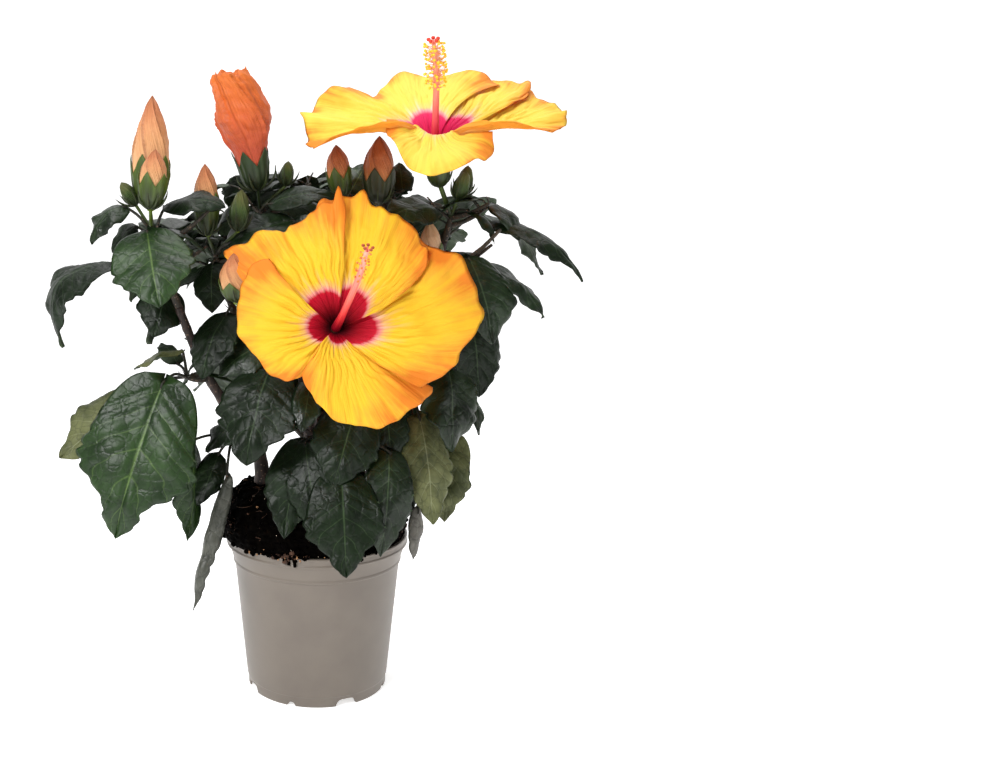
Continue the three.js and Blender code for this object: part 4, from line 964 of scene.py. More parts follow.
def make_leaf(base, tip, wide, face, arch, fold, root, lobed=0.25, tint=None):
    """A blade's midrib is a quadratic curve that is drawn towards a point 2 x arch x length above
    its chord; its side is square to the chord and to the way the face looks."""
    base, tip = np.array(base, float), np.array(tip, float)
    chord = tip - base
    side = unit(np.cross(face, chord))
    up = unit(np.cross(chord, side))
    length = np.linalg.norm(chord)
    bend = (base + tip) / 2 + 2 * arch * length * up
    return dict(rib=np.stack([base, bend, tip]), side=side, wide=wide, fold=fold, length=length,
                root=min(root, 0.95), lobed=lobed, tint=tint)


def on_rib(leaf, share):
    """The midrib's point (1-t)^2 base + 2t(1-t) bend + t^2 tip, and the way it runs."""
    base, bend, tip = leaf["rib"]
    t = np.asarray(share, float)[..., None]
    point = (1 - t) ** 2 * base + 2 * t * (1 - t) * bend + t**2 * tip
    return point, unit((1 - t) * (bend - base) + t * (tip - bend))


def plain_outline(share):
    """Half the width as a share of the widest: s^0.55 (1-s)^0.95, made to peak at one."""
    s = np.clip(share, 0, 1)
    return s**0.55 * (1 - s) ** 0.95 / outline_peak


def leaf_probes(leaf, steps):
    """Fifteen points spread over the solid's blade, whose teeth alternate by step past 0.4."""
    even = np.floor(probe_share * steps + 0.5) % 2 == 0
    tooth = np.where(probe_share > 0.4, np.where(even, 1.08, 0.92), 1)
    half = leaf["wide"] / 2 * np.maximum(plain_outline(probe_share) * tooth, 0.05)
    point, along = on_rib(leaf, probe_share)
    across, down = half * probe_across, leaf["fold"] * half * abs(probe_across)
    return point + across[:, None] * leaf["side"] - down[:, None] * np.cross(along, leaf["side"])


def limb_probes(points):
    """Thirteen points, evenly along the spline."""
    return spline(points, np.arange(13) / 12)


print(len(openings), "openings stay clear")

# %% What stands already
cup_profile = [(0, 0.5), (0.12, 0.92), (0.34, 1.06), (1, 1)]
furled_profile = [(0.06, 0.98), (0.45, 0.78), (0.78, 0.4), (1, 0.08)]


def girth_rows(bud, cup, furled):
    """One list of (share along the bud, girth): the cup's rows, then those of the furled petals."""
    calyx = bud["calyx"]
    rows = [(share * calyx, girth) for share, girth in cup]
    return rows + [(calyx + share * (1 - calyx), girth) for share, girth in furled]


def bud_path(bud):
    """The points of the bud's stalk, and after them those where its rings are strung on its axis."""
    base, tip = np.array(bud["base"], float), np.array(bud["tip"], float)
    rows = girth_rows(bud, cup_profile, bud.get("furled", furled_profile))
    return np.array([bud["root"], *bud.get("via", []), *(base + (tip - base) * share for share, _ in rows)])


for mass in masses.values():
    mass["rows"], mass["leaves"] = mass["leaves"], [make_leaf(*row) for row in mass["leaves"]]
standing = [limb_probes(points) for points, _ in limbs.values()]
standing += [petal_place(bloom, petal, probe_share, probe_across)
             for bloom in blooms.values() for petal in bloom["petals"]]
standing += [limb_probes(bud_path(bud)) for bud in buds.values()]
standing += [leaf_probes(leaf, measured_steps) for mass in masses.values() for leaf in mass["leaves"]]
print(len(standing), "things to keep clear of")


# %% Try, keep and grow
def fits(points, space, room):
    """Inside the mass's ellipsoid, out of every opening as the camera sees it, and clear."""
    middle, radii = np.array(space, float)
    scale = camera_away / (camera_away + points[:, 1])
    x, z = points[:, 0] * scale, camera_high + (points[:, 2] - camera_high) * scale
    in_space = ((((points - middle) / radii) ** 2).sum(1) < 1).all()
    in_opening = [(x > left) & (x < right) & (z > low) & (z < high) for left, right, low, high in openings]
    if not in_space or np.any(in_opening):
        return False
    return np.linalg.norm(points[:, None] - np.concatenate(standing), axis=2).min() > room


def seeded_twig(stem, mass, k, draw):
    """A twig leaves the stem up to 110 degrees either way of where the mass faces, and rises."""
    share = 0.35 + 0.6 * (k + 0.5) / mass["twigs"]
    turn = np.radians(mass["facing"] + 90 * np.sin(golden_angle * (k + 1)) + 40 * (draw() - 0.5))
    length = 30 + 18 * draw()
    start = at(stem, share)
    out = unit(polar(1, turn, 0.25 + 0.5 * draw()))
    return np.stack([start, start + out * length * 0.5 - [0, 0, length * 0.06], start + out * length])


def seeded_leaf(path, k, start, draw, size):
    """A blade on a rising stalk at a golden-angle turn, which droops outwards from the stalk's end."""
    share = 0.3 + 0.7 * (k + 1) / leaves_on_each
    turn = np.radians(start + golden_angle * k + 50 * (draw() - 0.5))
    out = polar(1, turn, 0)
    stalk = (14 + 14 * draw()) * size
    base = at(path, min(share, 0.95)) + out * stalk * 0.86 + [0, 0, stalk * 0.5]
    droop = np.radians(15 + 50 * draw())
    length = (54 + 30 * draw()) * size
    tip = base + out * length * np.cos(droop) - [0, 0, length * np.sin(droop)]
    wide = length * (0.62 + 0.12 * draw())
    face = out * np.sin(droop) + [0, 0, np.cos(droop)]
    return make_leaf(base, tip, wide, face, 0.08 + 0.1 * draw(), 0.2, share)


def grow(mass, paths, size, room, draw):
    """Tries each leaf at up to sixteen turns, and keeps it at the first one that fits."""
    grown = []
    for index, path in enumerate(paths if mass["twigs"] else []):
        for k in range(leaves_on_each):
            for attempt in range(leaf_tries):
                start = mass["facing"] + 70 * index + 45 * attempt
                leaf = seeded_leaf(path, k, start, draw, size)
                points = leaf_probes(leaf, seeded_steps)
                if fits(points, mass["space"], room):
                    standing.append(points)
                    grown.append((path, leaf))
                    break
    return grown


draw = seeded_draws(seed).__next__
for mass in masses.values():
    mass["paths"] = [np.array(mass["stem"], float)]
    mass["paths"] += [seeded_twig(mass["paths"][0], mass, k, draw) for k in range(mass["twigs"])]
    mass["grown"] = grow(mass, mass["paths"], 1.0, leaf_room, draw)
    counts = [len(mass[key]) for key in ("leaves", "grown", "paths")]
    print("{} measured and {} seeded leaves on {} stems".format(*counts))

# %% [markdown]
# The solids stop there, but a living twig goes on to a tip with small new leaves. A second pass of
# the same rule adds finer shoots and younger leaves, in the same spaces and under the same tests,
# so the crown gets its fine grain without growing past its outline or closing a gap.

# %% Finer shoots and young leaves
shoot_room, shoot_size = 5, 0.5
for mass in masses.values():
    mass["shoots"] = []
    for path in mass["paths"] if mass["twigs"] else []:
        turn = 2 * np.pi * draw()
        start = at(path, 0.6 + 0.3 * draw())
        out = unit(polar(1, turn, 0.6))
        shoot = np.stack([start, start + out * 9 + [0, 0, 1], start + out * 20 + [0, 0, 5]])
        if fits(shoot[1:], mass["space"], shoot_room):
            mass["shoots"].append(shoot)
    mass["young"] = grow(mass, mass["paths"] + mass["shoots"], shoot_size, shoot_room, draw)
shoots, young = ([made for mass in masses.values() for made in mass[key]] for key in ("shoots", "young"))
print(len(shoots), "shoots and", len(young), "young leaves")

# %% [markdown]
# A solid leaf is thick, so a few of them were kept simpler than the real ones. The withered leaf
# has rolled itself narrow, and some drooping leaves show more of their faces to the front. Three
# leaves are too thin or too hidden to be solids: a dry curl low on the right, and two dark leaves
# that fill the crown behind the front ones, whose darkest green is painted shade.

# %% Leaves that hang another way than their solids
# Each row: the mass and the number of its leaf, its width as a share of the solid's, and the way
# its face looks; one row ends with a new arch.
rehung = [
    ("foliage_left_foot", 3, 0.66, [-0.6, -0.7, 0.2]), ("foliage_left_low", 0, 0.92, [-0.1, -0.9, 0.35]),
    ("foliage_left_tip", 0, 1, [-0.65, -0.6, 0.5], 0.42), ("foliage_left_tip", 3, 1.1, [-0.4, -0.7, 0.6]),
]
thin_leaves = [
    ("foliage_right_low", [69, -40, 142], [66, -46, 106], 11, [0.4, -0.9, 0.1], 0.05, 0.6, 1, 0, 6),
    ("foliage_front_low", [-8, -48, 190], [4, -76, 128], 32, [-0.2, -0.9, 0.3], 0.1, 0.15, 0.7, 0.25, 1),
    ("foliage_front_low", [46, -28, 216], [50, -46, 172], 28, [0.1, -0.9, 0.3], 0.1, 0.2, 0.4, 0.25, 1),
]
for name, number, narrower, face, *new_arch in rehung:
    base, tip, wide, _, arch, *rest = masses[name]["rows"][number]
    masses[name]["leaves"][number] = make_leaf(base, tip, wide * narrower, face, *(new_arch or [arch]), *rest)
for name, *sizes in thin_leaves:
    masses[name]["leaves"].append(make_leaf(*sizes))
print(len(rehung), "leaves hang another way, and", len(thin_leaves), "are added")

# %% [markdown]
# ## Leaves
#
# A hibiscus leaf is egg-shaped with coarse teeth that point forward, and its skin is quilted: side
# veins leave the midrib at a slant, and the blade puffs up between them. All of that is real
# relief here. The vein number counts the side veins up the blade; a sine of it gives the pillows,
# and the same number in the material draws the paler lines exactly in the valleys. The teeth are
# round humps on the width. Each leaf gets its own waves, twist and tint from its own seed.

# %% The leaf's formula
vein_count, vein_slant, vein_crowding = 7, 0.22, 1.5
side_sweep, heart_depth = 0.06, 0.06
# In millimetres on a leaf of blade size 1.
pillow_height, net_height, crease_depth, swell_height = 1.4, 0.35, 0.8, 2.0


def vein_number(share, across):
    """7 x (share - slant x |across|)^(1 / 1.5): whole numbers are veins, closer near the base."""
    return vein_count * np.clip(share - vein_slant * np.abs(across), 0, 1) ** (1 / vein_crowding)


def blade_outline(s, v, leaf, random):
    """Egg-shaped with a full round base, a drawn-out tip where the leaf is lobed, and on the outer
    part round teeth: |sine| to the power 0.7, which has sharp notches between its humps."""
    teeth = max(4, round(leaf["length"] / 10))
    scallop = np.abs(np.sin(np.pi * (teeth * s + 0.4 * (v > 0) + random.uniform()))) ** 0.7
    tooth = 1 + 0.17 * (scallop - 0.6) * np.clip((s - 0.3) * 6, 0, 1)
    shoulder = 0.2 * bell(s, 0.5, 0.13) - 0.34 * bell(s, 0.76, 0.1)
    full = 1 + 0.5 * np.exp(-s / 0.07)
    return np.maximum(plain_outline(s) * tooth * full * (1 + leaf["lobed"] * shoulder), 0.008)


def blade_size(leaf):
    """1 for a leaf of 60 x 40 mm, and in proportion to its length for others of the same shape."""
    return (leaf["length"] * leaf["wide"] / 2400) ** 0.5


def blade_points(leaf, rows, columns, random):
    """midrib(s) + half x v x side + lift x normal + sweep x along, for s from base to tip and v
    across. The lift is the fold, the waves of the margin, the pillows between veins, a net of
    creases where a smooth noise passes through zero, less the crease of the midrib, and a swell."""
    s, v = grid(np.linspace(0, 1, rows + 1), np.linspace(-1, 1, columns + 1))
    half = leaf["wide"] / 2 * blade_outline(s, v, leaf, random)
    point, along = on_rib(leaf, s)
    normal = np.cross(along, leaf["side"])
    twist = random.normal(0, 0.18) * (s - 0.3)[..., None]
    side = np.cos(twist) * leaf["side"] + np.sin(twist) * normal
    normal = np.cross(along, side)
    size = blade_size(leaf)
    flat = np.stack([s * leaf["length"], half * v, 0 * s], -1)
    pillow = np.abs(np.sin(np.pi * vein_number(s, v))) ** 0.7 * np.sqrt(np.abs(v)) * (1 - 0.5 * v**2)
    net = np.abs(rough(flat, 17 * size**0.5, random.integers(999))) ** 0.8
    crease = bell(half * v, 0, 1.3 * size)
    phase = 2 * np.pi * (random.uniform(1.4, 2.4) * s + random.uniform(0, 1))
    wave = np.sin(phase + (v > 0) * random.uniform(0, 3))
    lift = np.abs(v) ** 2.5 * wave * random.uniform(1.0, 2.6) * size - leaf["fold"] * half * np.abs(v)
    lift += size * (pillow_height * pillow + net_height * net - crease_depth * crease)
    swell = rough(flat, 26 * size, random.integers(999))
    lift += swell_height * size * np.clip(s / 0.35, 0, 1) * swell
    sweep = side_sweep * np.sin(np.pi * s) * v**2 - heart_depth * (1 - s) ** 5 * np.abs(v) ** 1.5
    moves = ((half * v, side), (lift, normal), (leaf["length"] * sweep, along))
    return point + sum(far[..., None] * way for far, way in moves)


def stalk_path(stem, leaf):
    """From the stem over a bend to the blade's base, and a little way on under the midrib."""
    start, base = at(stem, leaf["root"]), leaf["rib"][0]
    bend = (start + base) / 2 + [0, 0, 0.12 * np.linalg.norm(base - start)]
    end, along = on_rib(leaf, 0.06)
    under = blade_size(leaf) * np.cross(along, leaf["side"])
    return np.array([start, bend, base - 0.6 * under, end - 1.3 * under])


def stipules(stem, leaf, random):
    """The pair of thin curved spikes at the foot of each leaf stalk."""
    start = at(stem, leaf["root"])
    towards = unit(leaf["rib"][0] - start)
    across = unit(np.cross(towards, [0.1, 0.2, 1]))
    made = []
    for hand in (-1, 1):
        out = unit(towards * 0.5 + hand * across + [0, 0, random.uniform(0, 0.6)])
        reach = random.uniform(5, 8)
        path = np.array([start, start + out * reach * 0.55, start + out * reach + [0, 0, reach * 0.3]])
        made.append(limb_tube(path, [0.55, 0.4, 0.08], 2, 5))
    return made


# %% [markdown]
# The leaf's upper face is a deep bottle green with a waxy shine, so its highlights are broad and
# greyish. The veins are drawn from the leaf's own along-and-across coordinates: a pale midrib, and
# side veins at whole vein numbers that fade towards the margin; the grooves of the small veins are
# darkened with painted shade. Three greens, dealt out leaf by leaf, stand for old, full-grown and
# fresh leaves, and the darkest is also painted shade on the leaves under the front bloom. The
# underside is paler and duller, and a few measured leaves name a pale olive or withered skin of
# their own; the pale olive also paints light on a leaf that the crown shades.

# %% Leaf materials
def own_places(tree):
    """A blade's own coordinates: all of them, the share along it, and how far off its middle line."""
    uv = add(tree, "UVMap", uv_map="along_and_across")
    share, side = (add(tree, "SeparateXYZ", (uv,), out=axis) for axis in "XY")
    centred = add(tree, "Math", (side, 2.0, -1.0), operation="MULTIPLY_ADD")
    return uv, share, add(tree, "Math", (centred,), operation="ABSOLUTE")


def vein_mask(tree):
    """1 on the midrib and the side veins, 0 between them, by the same vein number as the blade's."""
    _, share, across = own_places(tree)
    base = add(tree, "Math", (across, -vein_slant, share), operation="MULTIPLY_ADD")
    kept = add(tree, "Math", (base, 0.0), operation="MAXIMUM")
    power = add(tree, "Math", (kept, 1 / vein_crowding), operation="POWER")
    number = add(tree, "Math", (power, float(vein_count)), operation="MULTIPLY")
    from_vein = add(tree, "Math", (number, 0.5), operation="PINGPONG")
    fading = add(tree, "Math", (across, -0.035, 0.06), operation="MULTIPLY_ADD")
    off_vein = add(tree, "Math", (from_vein, fading), operation="DIVIDE", use_clamp=True)
    off_midrib = add(tree, "Math", (across, 0.036), operation="DIVIDE", use_clamp=True)
    lateral = add(tree, "Math", (off_vein, -0.42, 0.42), operation="MULTIPLY_ADD")
    on_blade = add(tree, "Math", (base, 0.004), operation="GREATER_THAN")
    lateral = add(tree, "Math", (lateral, on_blade), operation="MULTIPLY")
    midrib = add(tree, "Math", (off_midrib, -0.8, 0.8), operation="MULTIPLY_ADD")
    return add(tree, "Math", (lateral, midrib), operation="MAXIMUM")


def leaf_skin(name, deep, light, vein, roughness, quilt_depth, shine):
    """Two greens in patches, paler veins, and a net of small veins sunk in grooves round cells 7 mm across,
    whose grooves are darkened with painted shade.
    """
    material, tree = start_material(name, deep, roughness, Specular_IOR_Level=shine)
    place = add(tree, "TexCoord", out="Object")
    patch = add(tree, "TexNoise", {"Vector": place, "Scale": per(16), "Detail": 5})
    green = add(tree, "ValToRGB", (patch,), [(0.35, deep), (0.66, light)])
    wander = add(tree, "TexNoise", {"Vector": place, "Scale": per(9), "Detail": 3}, out="Color")
    moved = add(tree, "Mix", {0: 0.008, 4: place, 5: wander}, out=1, data_type="VECTOR")
    edge = add(tree, "TexVoronoi", {"Vector": moved, "Scale": per(7)}, out="Distance",
               feature="DISTANCE_TO_EDGE")
    quilt = add(tree, "ValToRGB", (edge,),
                [(0, "#000000"), (0.05, "#808080"), (0.14, "#c8c8c8"), (0.45, "#ffffff")])
    # Painted shade: the colour darkens in the grooves of the small veins, where their bump sinks, and is
    # mixed in below.
    crease_shade_mask = add(tree, "ValToRGB", (edge,), [(0.01, "#989898"), (0.055, "#000000")])
    creased = add(tree, "Mix", {0: crease_shade_mask, 6: green, 7: linear(painted_crease_shade)}, out=2, data_type="RGBA")
    share = add(tree, "Math", (patch, 1.6, -0.2), operation="MULTIPLY_ADD", use_clamp=True)
    faint = add(tree, "Math", (vein_mask(tree), share), operation="MULTIPLY")
    veined = add(tree, "Mix", {0: faint, 6: creased, 7: linear(vein)}, out=2, data_type="RGBA")
    dull = add(tree, "Math", (patch, 0.3, roughness - 0.15), operation="MULTIPLY_ADD")
    bump = add(tree, "Bump", {"Height": quilt, "Strength": 0.6, "Distance": quilt_depth * MM})
    return finish_material(material, Base_Color=veined, Roughness=dull, Normal=bump)


# The near-black green of the painted shade in the grooves of the small veins.
painted_crease_shade = "#050904"
leaf_skins = [
    # Waxy and deep green: the crown's main tone, with broad greyish highlights.
    leaf_skin("leaf face, full-grown", "#0a1707", "#182a10", "#566a4a", 0.38, 0.42, 0.38),
    # Nearly black and less shiny: the tone of old leaves, and painted shade on the leaves that hang under the
    # front bloom, so the inside of the crown looks deep.
    leaf_skin("leaf face, dark: old leaves and painted shade", "#081405", "#12220c", "#4a5f3e", 0.42, 0.42, 0.24),
    # Lighter and yellower, so the newest leaves stand out from the old ones.
    leaf_skin("leaf face, fresh", "#15290d", "#253f16", "#6f8a48", 0.42, 0.4, 0.38),
    # Pale and dull beside the faces, which shows that a leaf has turned over.
    leaf_skin("leaf underside", "#2c3a26", "#3e4e34", "#74855c", 0.6, 0.35, 0.3),
    # Grey where the green has gone, and deeply creased: dry.
    leaf_skin("leaf face, withered", "#30322b", "#62635a", "#7a7a6e", 0.42, 0.7, 0.42),
    # Yellow-grey, matt and paler than the other greens; on the low left leaf that the crown shades, this
    # paleness is painted light.
    leaf_skin("leaf face, pale olive, partly painted light", "#3e4424", "#6c7048", "#a0a480", 0.5, 0.4, 0.3),
    # Silvery and papery, like the inside of a curled dead leaf.
    leaf_skin("leaf underside, dried and silver", "#55524b", "#85827a", "#9a978c", 0.5, 0.5, 0.4),
]
# The bark of a twig still has some green in it, between the stalk's and the bough's.
twig_green = bark("twig bark, green-brown", "#201b12", "#3e3324")


def leaves_form(leaves, cell, first_seed, fresh):
    """Every blade as a closed sheet of cells about the given size, whose upper face has a green
    dealt out by its own seed unless the leaf names one; fresh is the share of the freshest green."""
    made = []
    for number, leaf in enumerate(leaves):
        random = np.random.default_rng(first_seed + number)
        tint = random.choice(3, p=[0.62 - fresh / 2, 0.38 - fresh / 2, fresh])
        tint = tint if leaf["tint"] is None else leaf["tint"]
        rows, columns = (2 * max(3, round(size / cell / 2)) for size in (leaf["length"], leaf["wide"]))
        made.append(sheet(blade_points(leaf, rows, columns, random), 0.25, (tint, 3)))
    return joined(made)


measured = [(np.array(mass["stem"], float), leaf) for mass in masses.values() for leaf in mass["leaves"]]
seeded = [pair for mass in masses.values() for pair in mass["grown"]]
for name, pairs, cell, first_seed, fresh in (
    ("leaves_large", measured, 1.9, 100, 0.08),
    ("leaves_full_grown", seeded, 2.6, 300, 0.12),
    ("leaves_young", young, 2.4, 600, 0.4),
):
    form = leaves_form([leaf for _, leaf in pairs], cell, first_seed, fresh)
    piece(name, form, leaf_skins, "foliage", list(masses))

# %% Leaf stalks, twigs and stipules
full_grown = measured + seeded
stipule_random = np.random.default_rng(21)
stalk_forms = [limb_tube(stalk_path(*pair), [1.25, 1.0, 0.95, 0.4], 2.5, 7) for pair in full_grown]
stalk_forms += [limb_tube(stalk_path(*pair), [0.8, 0.65, 0.6, 0.25], 2.5, 5) for pair in young]
stalk_forms += [form for pair in full_grown for form in stipules(*pair, stipule_random)]
# Stalks are dark and fine, so they nearly vanish between the leaves.
stalk_skin = bark("leaf stalk, nearly black green", "#14140c", "#2e2c1c")
piece("leaf_stalks", joined(stalk_forms), [stalk_skin], "foliage", list(masses))

twig_forms = []
for mass in masses.values():
    twig_forms.append(limb_tube(mass["paths"][0], [2.7, 2.2, 1.5], 1.5, 12, 0, bark_relief))
    twig_forms += [limb_tube(path, [1.9, 1.6, 1.0], 1.5, 9, 0, bark_relief) for path in mass["paths"][1:]]
    twig_forms += [limb_tube(path, [1.1, 0.9, 0.5], 2, 7, 0, bark_relief) for path in mass["shoots"]]
piece("twigs", joined(twig_forms), [twig_green], "foliage", list(masses))

# %% [markdown]
# ## The open blooms
#
# Each petal repeats the formula above with a finer grid. Three things are added to it square to
# the surface: fine ridges that run out like pleats, a frill that grows over the outer half, and a
# slow swell so that no petal lies flat. Petal colour depends on how far out a point is, so the
# material reads the petal's own coordinates: crimson in the throat with a lobed edge, a pale halo
# with rays, bright yellow, and orange at the margin. A little translucent light comes through.

# %% What each petal has of its own
petal_rows, petal_columns = 56, 90
ridges_across, ridge_height, petal_swell = 9, 0.75, 1.6
throat_lobes, light_through = 0.34, 0.22

blooms["bloom_front"].update(frill=1.6, slot="petal_orange", throat_shift=[0, -1, 6])
blooms["bloom_top"].update(frill=1.8, slot="petal_lemon", throat_shift=[0, 0, 0])

# What each dressed petal has beyond its solid. Peaks are (place across, width, millimetres), corners
# and curls are for its first and its last edge, calm scales its relief, and drawn_in brings the
# colours of its throat nearer to the middle.
own_traits = {
    "bloom_front": [
        dict(peaks=[(-0.92, 0.045, 12), (0.78, 0.16, 8)], corners=(0, 0.25)),
        dict(peaks=[(0.4, 0.07, 7), (0.6, 0.12, 4)], corners=(0.1, 0.16)),
        dict(drawn_in=0.15),
        dict(peaks=[(-0.08, 0.12, -3), (0.22, 0.15, 3)], corners=(0, 0.05), calm=0.6, drawn_in=1.5),
        dict(corners=(0.12, 0.12), drawn_in=0.35),
    ],
    "bloom_top": [
        dict(peaks=[(0, 1.2, -3)], calm=0.35),
        dict(lift=1.5, corners=(0, 0.3)),
        dict(curls=(9, 0)),
        dict(hump=7, cupped=12, peaks=[(0, 0.3, -3), (0.55, 0.2, 2)], calm=0.6, drawn_in=1.0),
        dict(turn=-197, spread=31, waist=0, reaches=[76, 93, 90, 87, 84], curls=(0, 14), tilt=4),
    ],
}
for name, traits in own_traits.items():
    for petal, trait in zip(blooms[name]["petals"], traits):
        petal.update(trait)
    print(name, "has", len(traits), "petals of its own")


# %% The petal's relief
def petal_points(bloom, petal, random):
    """The petal's formula, with its margin a little uneven, lifted by ridges, frill and swell."""
    s, v = grid(np.linspace(0, 1, petal_rows), np.linspace(-1, 1, petal_columns))
    phases = random.uniform(0, 2 * np.pi, 6)
    waves = ((1, 5), (0.8, 11), (0.45, 24))
    uneven = sum(high * np.sin(often * v + phase) for (high, often), phase in zip(waves, phases))
    points = petal_place(bloom, petal, s * (1 + 0.013 * uneven * s**6), v)
    points = points + ((1 - s) ** 2)[..., None] * np.array(bloom["throat_shift"])
    normal = unit(np.cross(np.gradient(points, axis=0), np.gradient(points, axis=1)))
    outer = np.clip((s - 0.4) / 0.6, 0, 1) ** 2
    frill = 0.9 * np.sin(2 * np.pi * 1.1 * v + phases[3]) + 0.6 * np.sin(2 * np.pi * 2.4 * v + phases[4])
    frill = frill + 0.3 * np.sin(2 * np.pi * 5.3 * v + phases[5]) * outer
    bend = 3.5 * rough(points, 22, random.integers(999))
    ridge = np.sin(ridges_across * np.pi * v + bend + phases[5])
    ridge = ridge + 0.7 * np.sin(2.1 * ridges_across * np.pi * v + 1.7 * bend)
    fading = np.clip((s - 0.2) / 0.4, 0, 1) * np.clip(2.2 * (1.04 - s), 0, 1)
    swell = rough(points, 24, random.integers(999))
    lift = bloom["frill"] * outer * frill + ridge_height * ridge * fading + petal_swell * s * swell
    return points + petal["calm"] * lift[..., None] * normal


def petal_form(bloom, petal, random):
    """The petal as a sheet; the colours near its foot are drawn in: share x (1 + draw (1 - share)^2)."""
    form = sheet(petal_points(bloom, petal, random), 0.3)
    form["uv"][:, 0] *= 1 + petal["drawn_in"] * (1 - form["uv"][:, 0]) ** 2
    return form


print("each petal has", petal_rows, "x", petal_columns, "points")


# %% Make the petals
def petal_skin(name, stops, ray_colour):
    """A colour ramp on the share outwards, moved by the lobes of the throat and by fine streaks,
    with rays of another colour where the throat ends, and some light let through."""
    material, tree = start_material(name, stops[-1][1], 0.6, Specular_IOR_Level=0.2)
    uv, share, across = own_places(tree)
    place = add(tree, "TexCoord", out="Object")
    drawn = add(tree, "Mapping", {"Vector": uv, "Scale": (1.6, 34, 1)})
    streak = add(tree, "TexNoise", {"Vector": drawn, "Scale": 1.0, "Detail": 4})
    broad = add(tree, "Mapping", {"Vector": uv, "Scale": (2.2, 13, 1), "Rotation": (0, 0, 0.1)})
    wrinkle = add(tree, "TexNoise", {"Vector": broad, "Scale": 1.0, "Detail": 2, "Distortion": 0.6})
    cloud = add(tree, "TexNoise", {"Vector": place, "Scale": per(24), "Detail": 3})
    edge = add(tree, "Math", (across, 2.5), operation="POWER")
    drawn_in = add(tree, "Math", (edge, throat_lobes, 1.0), operation="MULTIPLY_ADD")
    lobes = add(tree, "Math", (share, drawn_in), operation="MULTIPLY")
    both = add(tree, "Math", (streak, wrinkle), operation="ADD")
    veined = add(tree, "Math", (both, 0.62, -0.62), operation="MULTIPLY_ADD")
    outer = add(tree, "Math", (share, 3.5), operation="POWER")
    moved = add(tree, "Math", (veined, outer, lobes), operation="MULTIPLY_ADD")
    clouded = add(tree, "Math", (cloud, 0.7, -0.35), operation="MULTIPLY_ADD")
    drifted = add(tree, "Math", (clouded, outer, moved), operation="MULTIPLY_ADD")
    furthest = stops[-1][0]
    scaled = add(tree, "Math", (drifted, furthest), operation="DIVIDE")
    tone = add(tree, "ValToRGB", (scaled,), [(stop / furthest, code) for stop, code in stops])
    fanned = add(tree, "Mapping", {"Vector": uv, "Scale": (0.8, 22, 1), "Location": (3, 5, 0)})
    rays = add(tree, "TexNoise", {"Vector": fanned, "Scale": 1.0, "Detail": 2})
    ray_mask = add(tree, "ValToRGB", (rays,), [(0.5, "#000000"), (0.68, "#e8e8e8")])
    near = add(tree, "ValToRGB", (lobes,), ray_span)
    rayed = add(tree, "Math", (ray_mask, near), operation="MULTIPLY")
    colour = add(tree, "Mix", {0: rayed, 6: tone, 7: linear(ray_colour)}, out=2, data_type="RGBA")
    height = add(tree, "Math", (wrinkle, 2.5, streak), operation="MULTIPLY_ADD")
    bump = add(tree, "Bump", {"Height": height, "Strength": 0.85, "Distance": 1.1 * MM})
    glow = add(tree, "BsdfTranslucent", {"Color": colour, "Normal": bump})
    mixed = add(tree, "MixShader", (light_through, tree.nodes["Principled BSDF"].outputs[0], glow))
    tree.links.new(mixed, tree.nodes["Material Output"].inputs["Surface"])
    return finish_material(material, Base_Color=colour, Normal=bump)


ray_span = [(0.4, "#000000"), (0.46, "#ffffff"), (0.52, "#aaaaaa"), (0.66, "#000000")]
front_stops = [(0.0, "#2a0008"), (0.12, "#5e0010"), (0.27, "#a8001c"), (0.41, "#cc0a2c"), (0.44, "#f09090"),
               (0.475, "#fbc470"), (0.54, "#ffd131"), (0.8, "#fecd34"), (0.95, "#fdb836"), (1.12, "#f28e2c")]
top_stops = [(0.0, "#b00038"), (0.24, "#de1254"), (0.4, "#ee2c6a"), (0.44, "#f6a0a8"), (0.48, "#fbdc80"),
             (0.56, "#fde45c"), (0.85, "#fcdc56"), (0.98, "#f8c846"), (1.12, "#ee9636")]
back_stops = [(0.0, "#d88a50"), (0.3, "#f0a85a"), (0.7, "#f5a83a"), (1.0, "#f09a2a")]
# The bright faces draw the eye to the dark throat; the duller orange backs show which way a petal
# has turned.
petal_skins = {
    "bloom_front": petal_skin("petal face, golden with crimson throat", front_stops, "#fbd3b4"),
    "bloom_top": petal_skin("petal face, lemon with crimson throat", top_stops, "#fbe6d2"),
}
petal_back = petal_skin("petal underside, orange", back_stops, "#f6c98a")

for number, (name, bloom) in enumerate(blooms.items()):
    random = np.random.default_rng(40 + number)
    form = joined([petal_form(bloom, petal, random) for petal in bloom["petals"]])
    piece(name.replace("bloom", "petals"), form, [petal_skins[name], petal_back], bloom["slot"], [name])

# %% [markdown]
# The column carries the stamens and ends in five round pads. It grows from the throat's bottom and
# leans out of the bloom. Stamens stand on its outer half, all round, each a hair-thin stalk with a
# small grain on its end: a few dozen faces, repeated at golden-angle turns.

# %% Column, stamens and pads
pad_count, stamens_to = 5, 0.97
blooms["bloom_front"].update(stamens=30, stamens_from=0.66, stamen_reach=3.4, grain=0.8, pad=1.1)
blooms["bloom_top"].update(stamens=120, stamens_from=0.56, stamen_reach=6.6, grain=1.0, pad=1.3)
blooms["bloom_front"]["column_end"], blooms["bloom_top"]["column_end"] = [30, -102, 321], [74, -41, 448]


def on_column(path, share, turn):
    """A place on the column's middle line, the way it runs there, and the way out of it at a turn."""
    ahead = unit(at(path, min(share + 0.02, 1)) - at(path, share - 0.02))
    side = unit(np.cross([1, 0.2, 0], ahead))
    return at(path, share), ahead, np.cos(turn) * side + np.sin(turn) * np.cross(ahead, side)


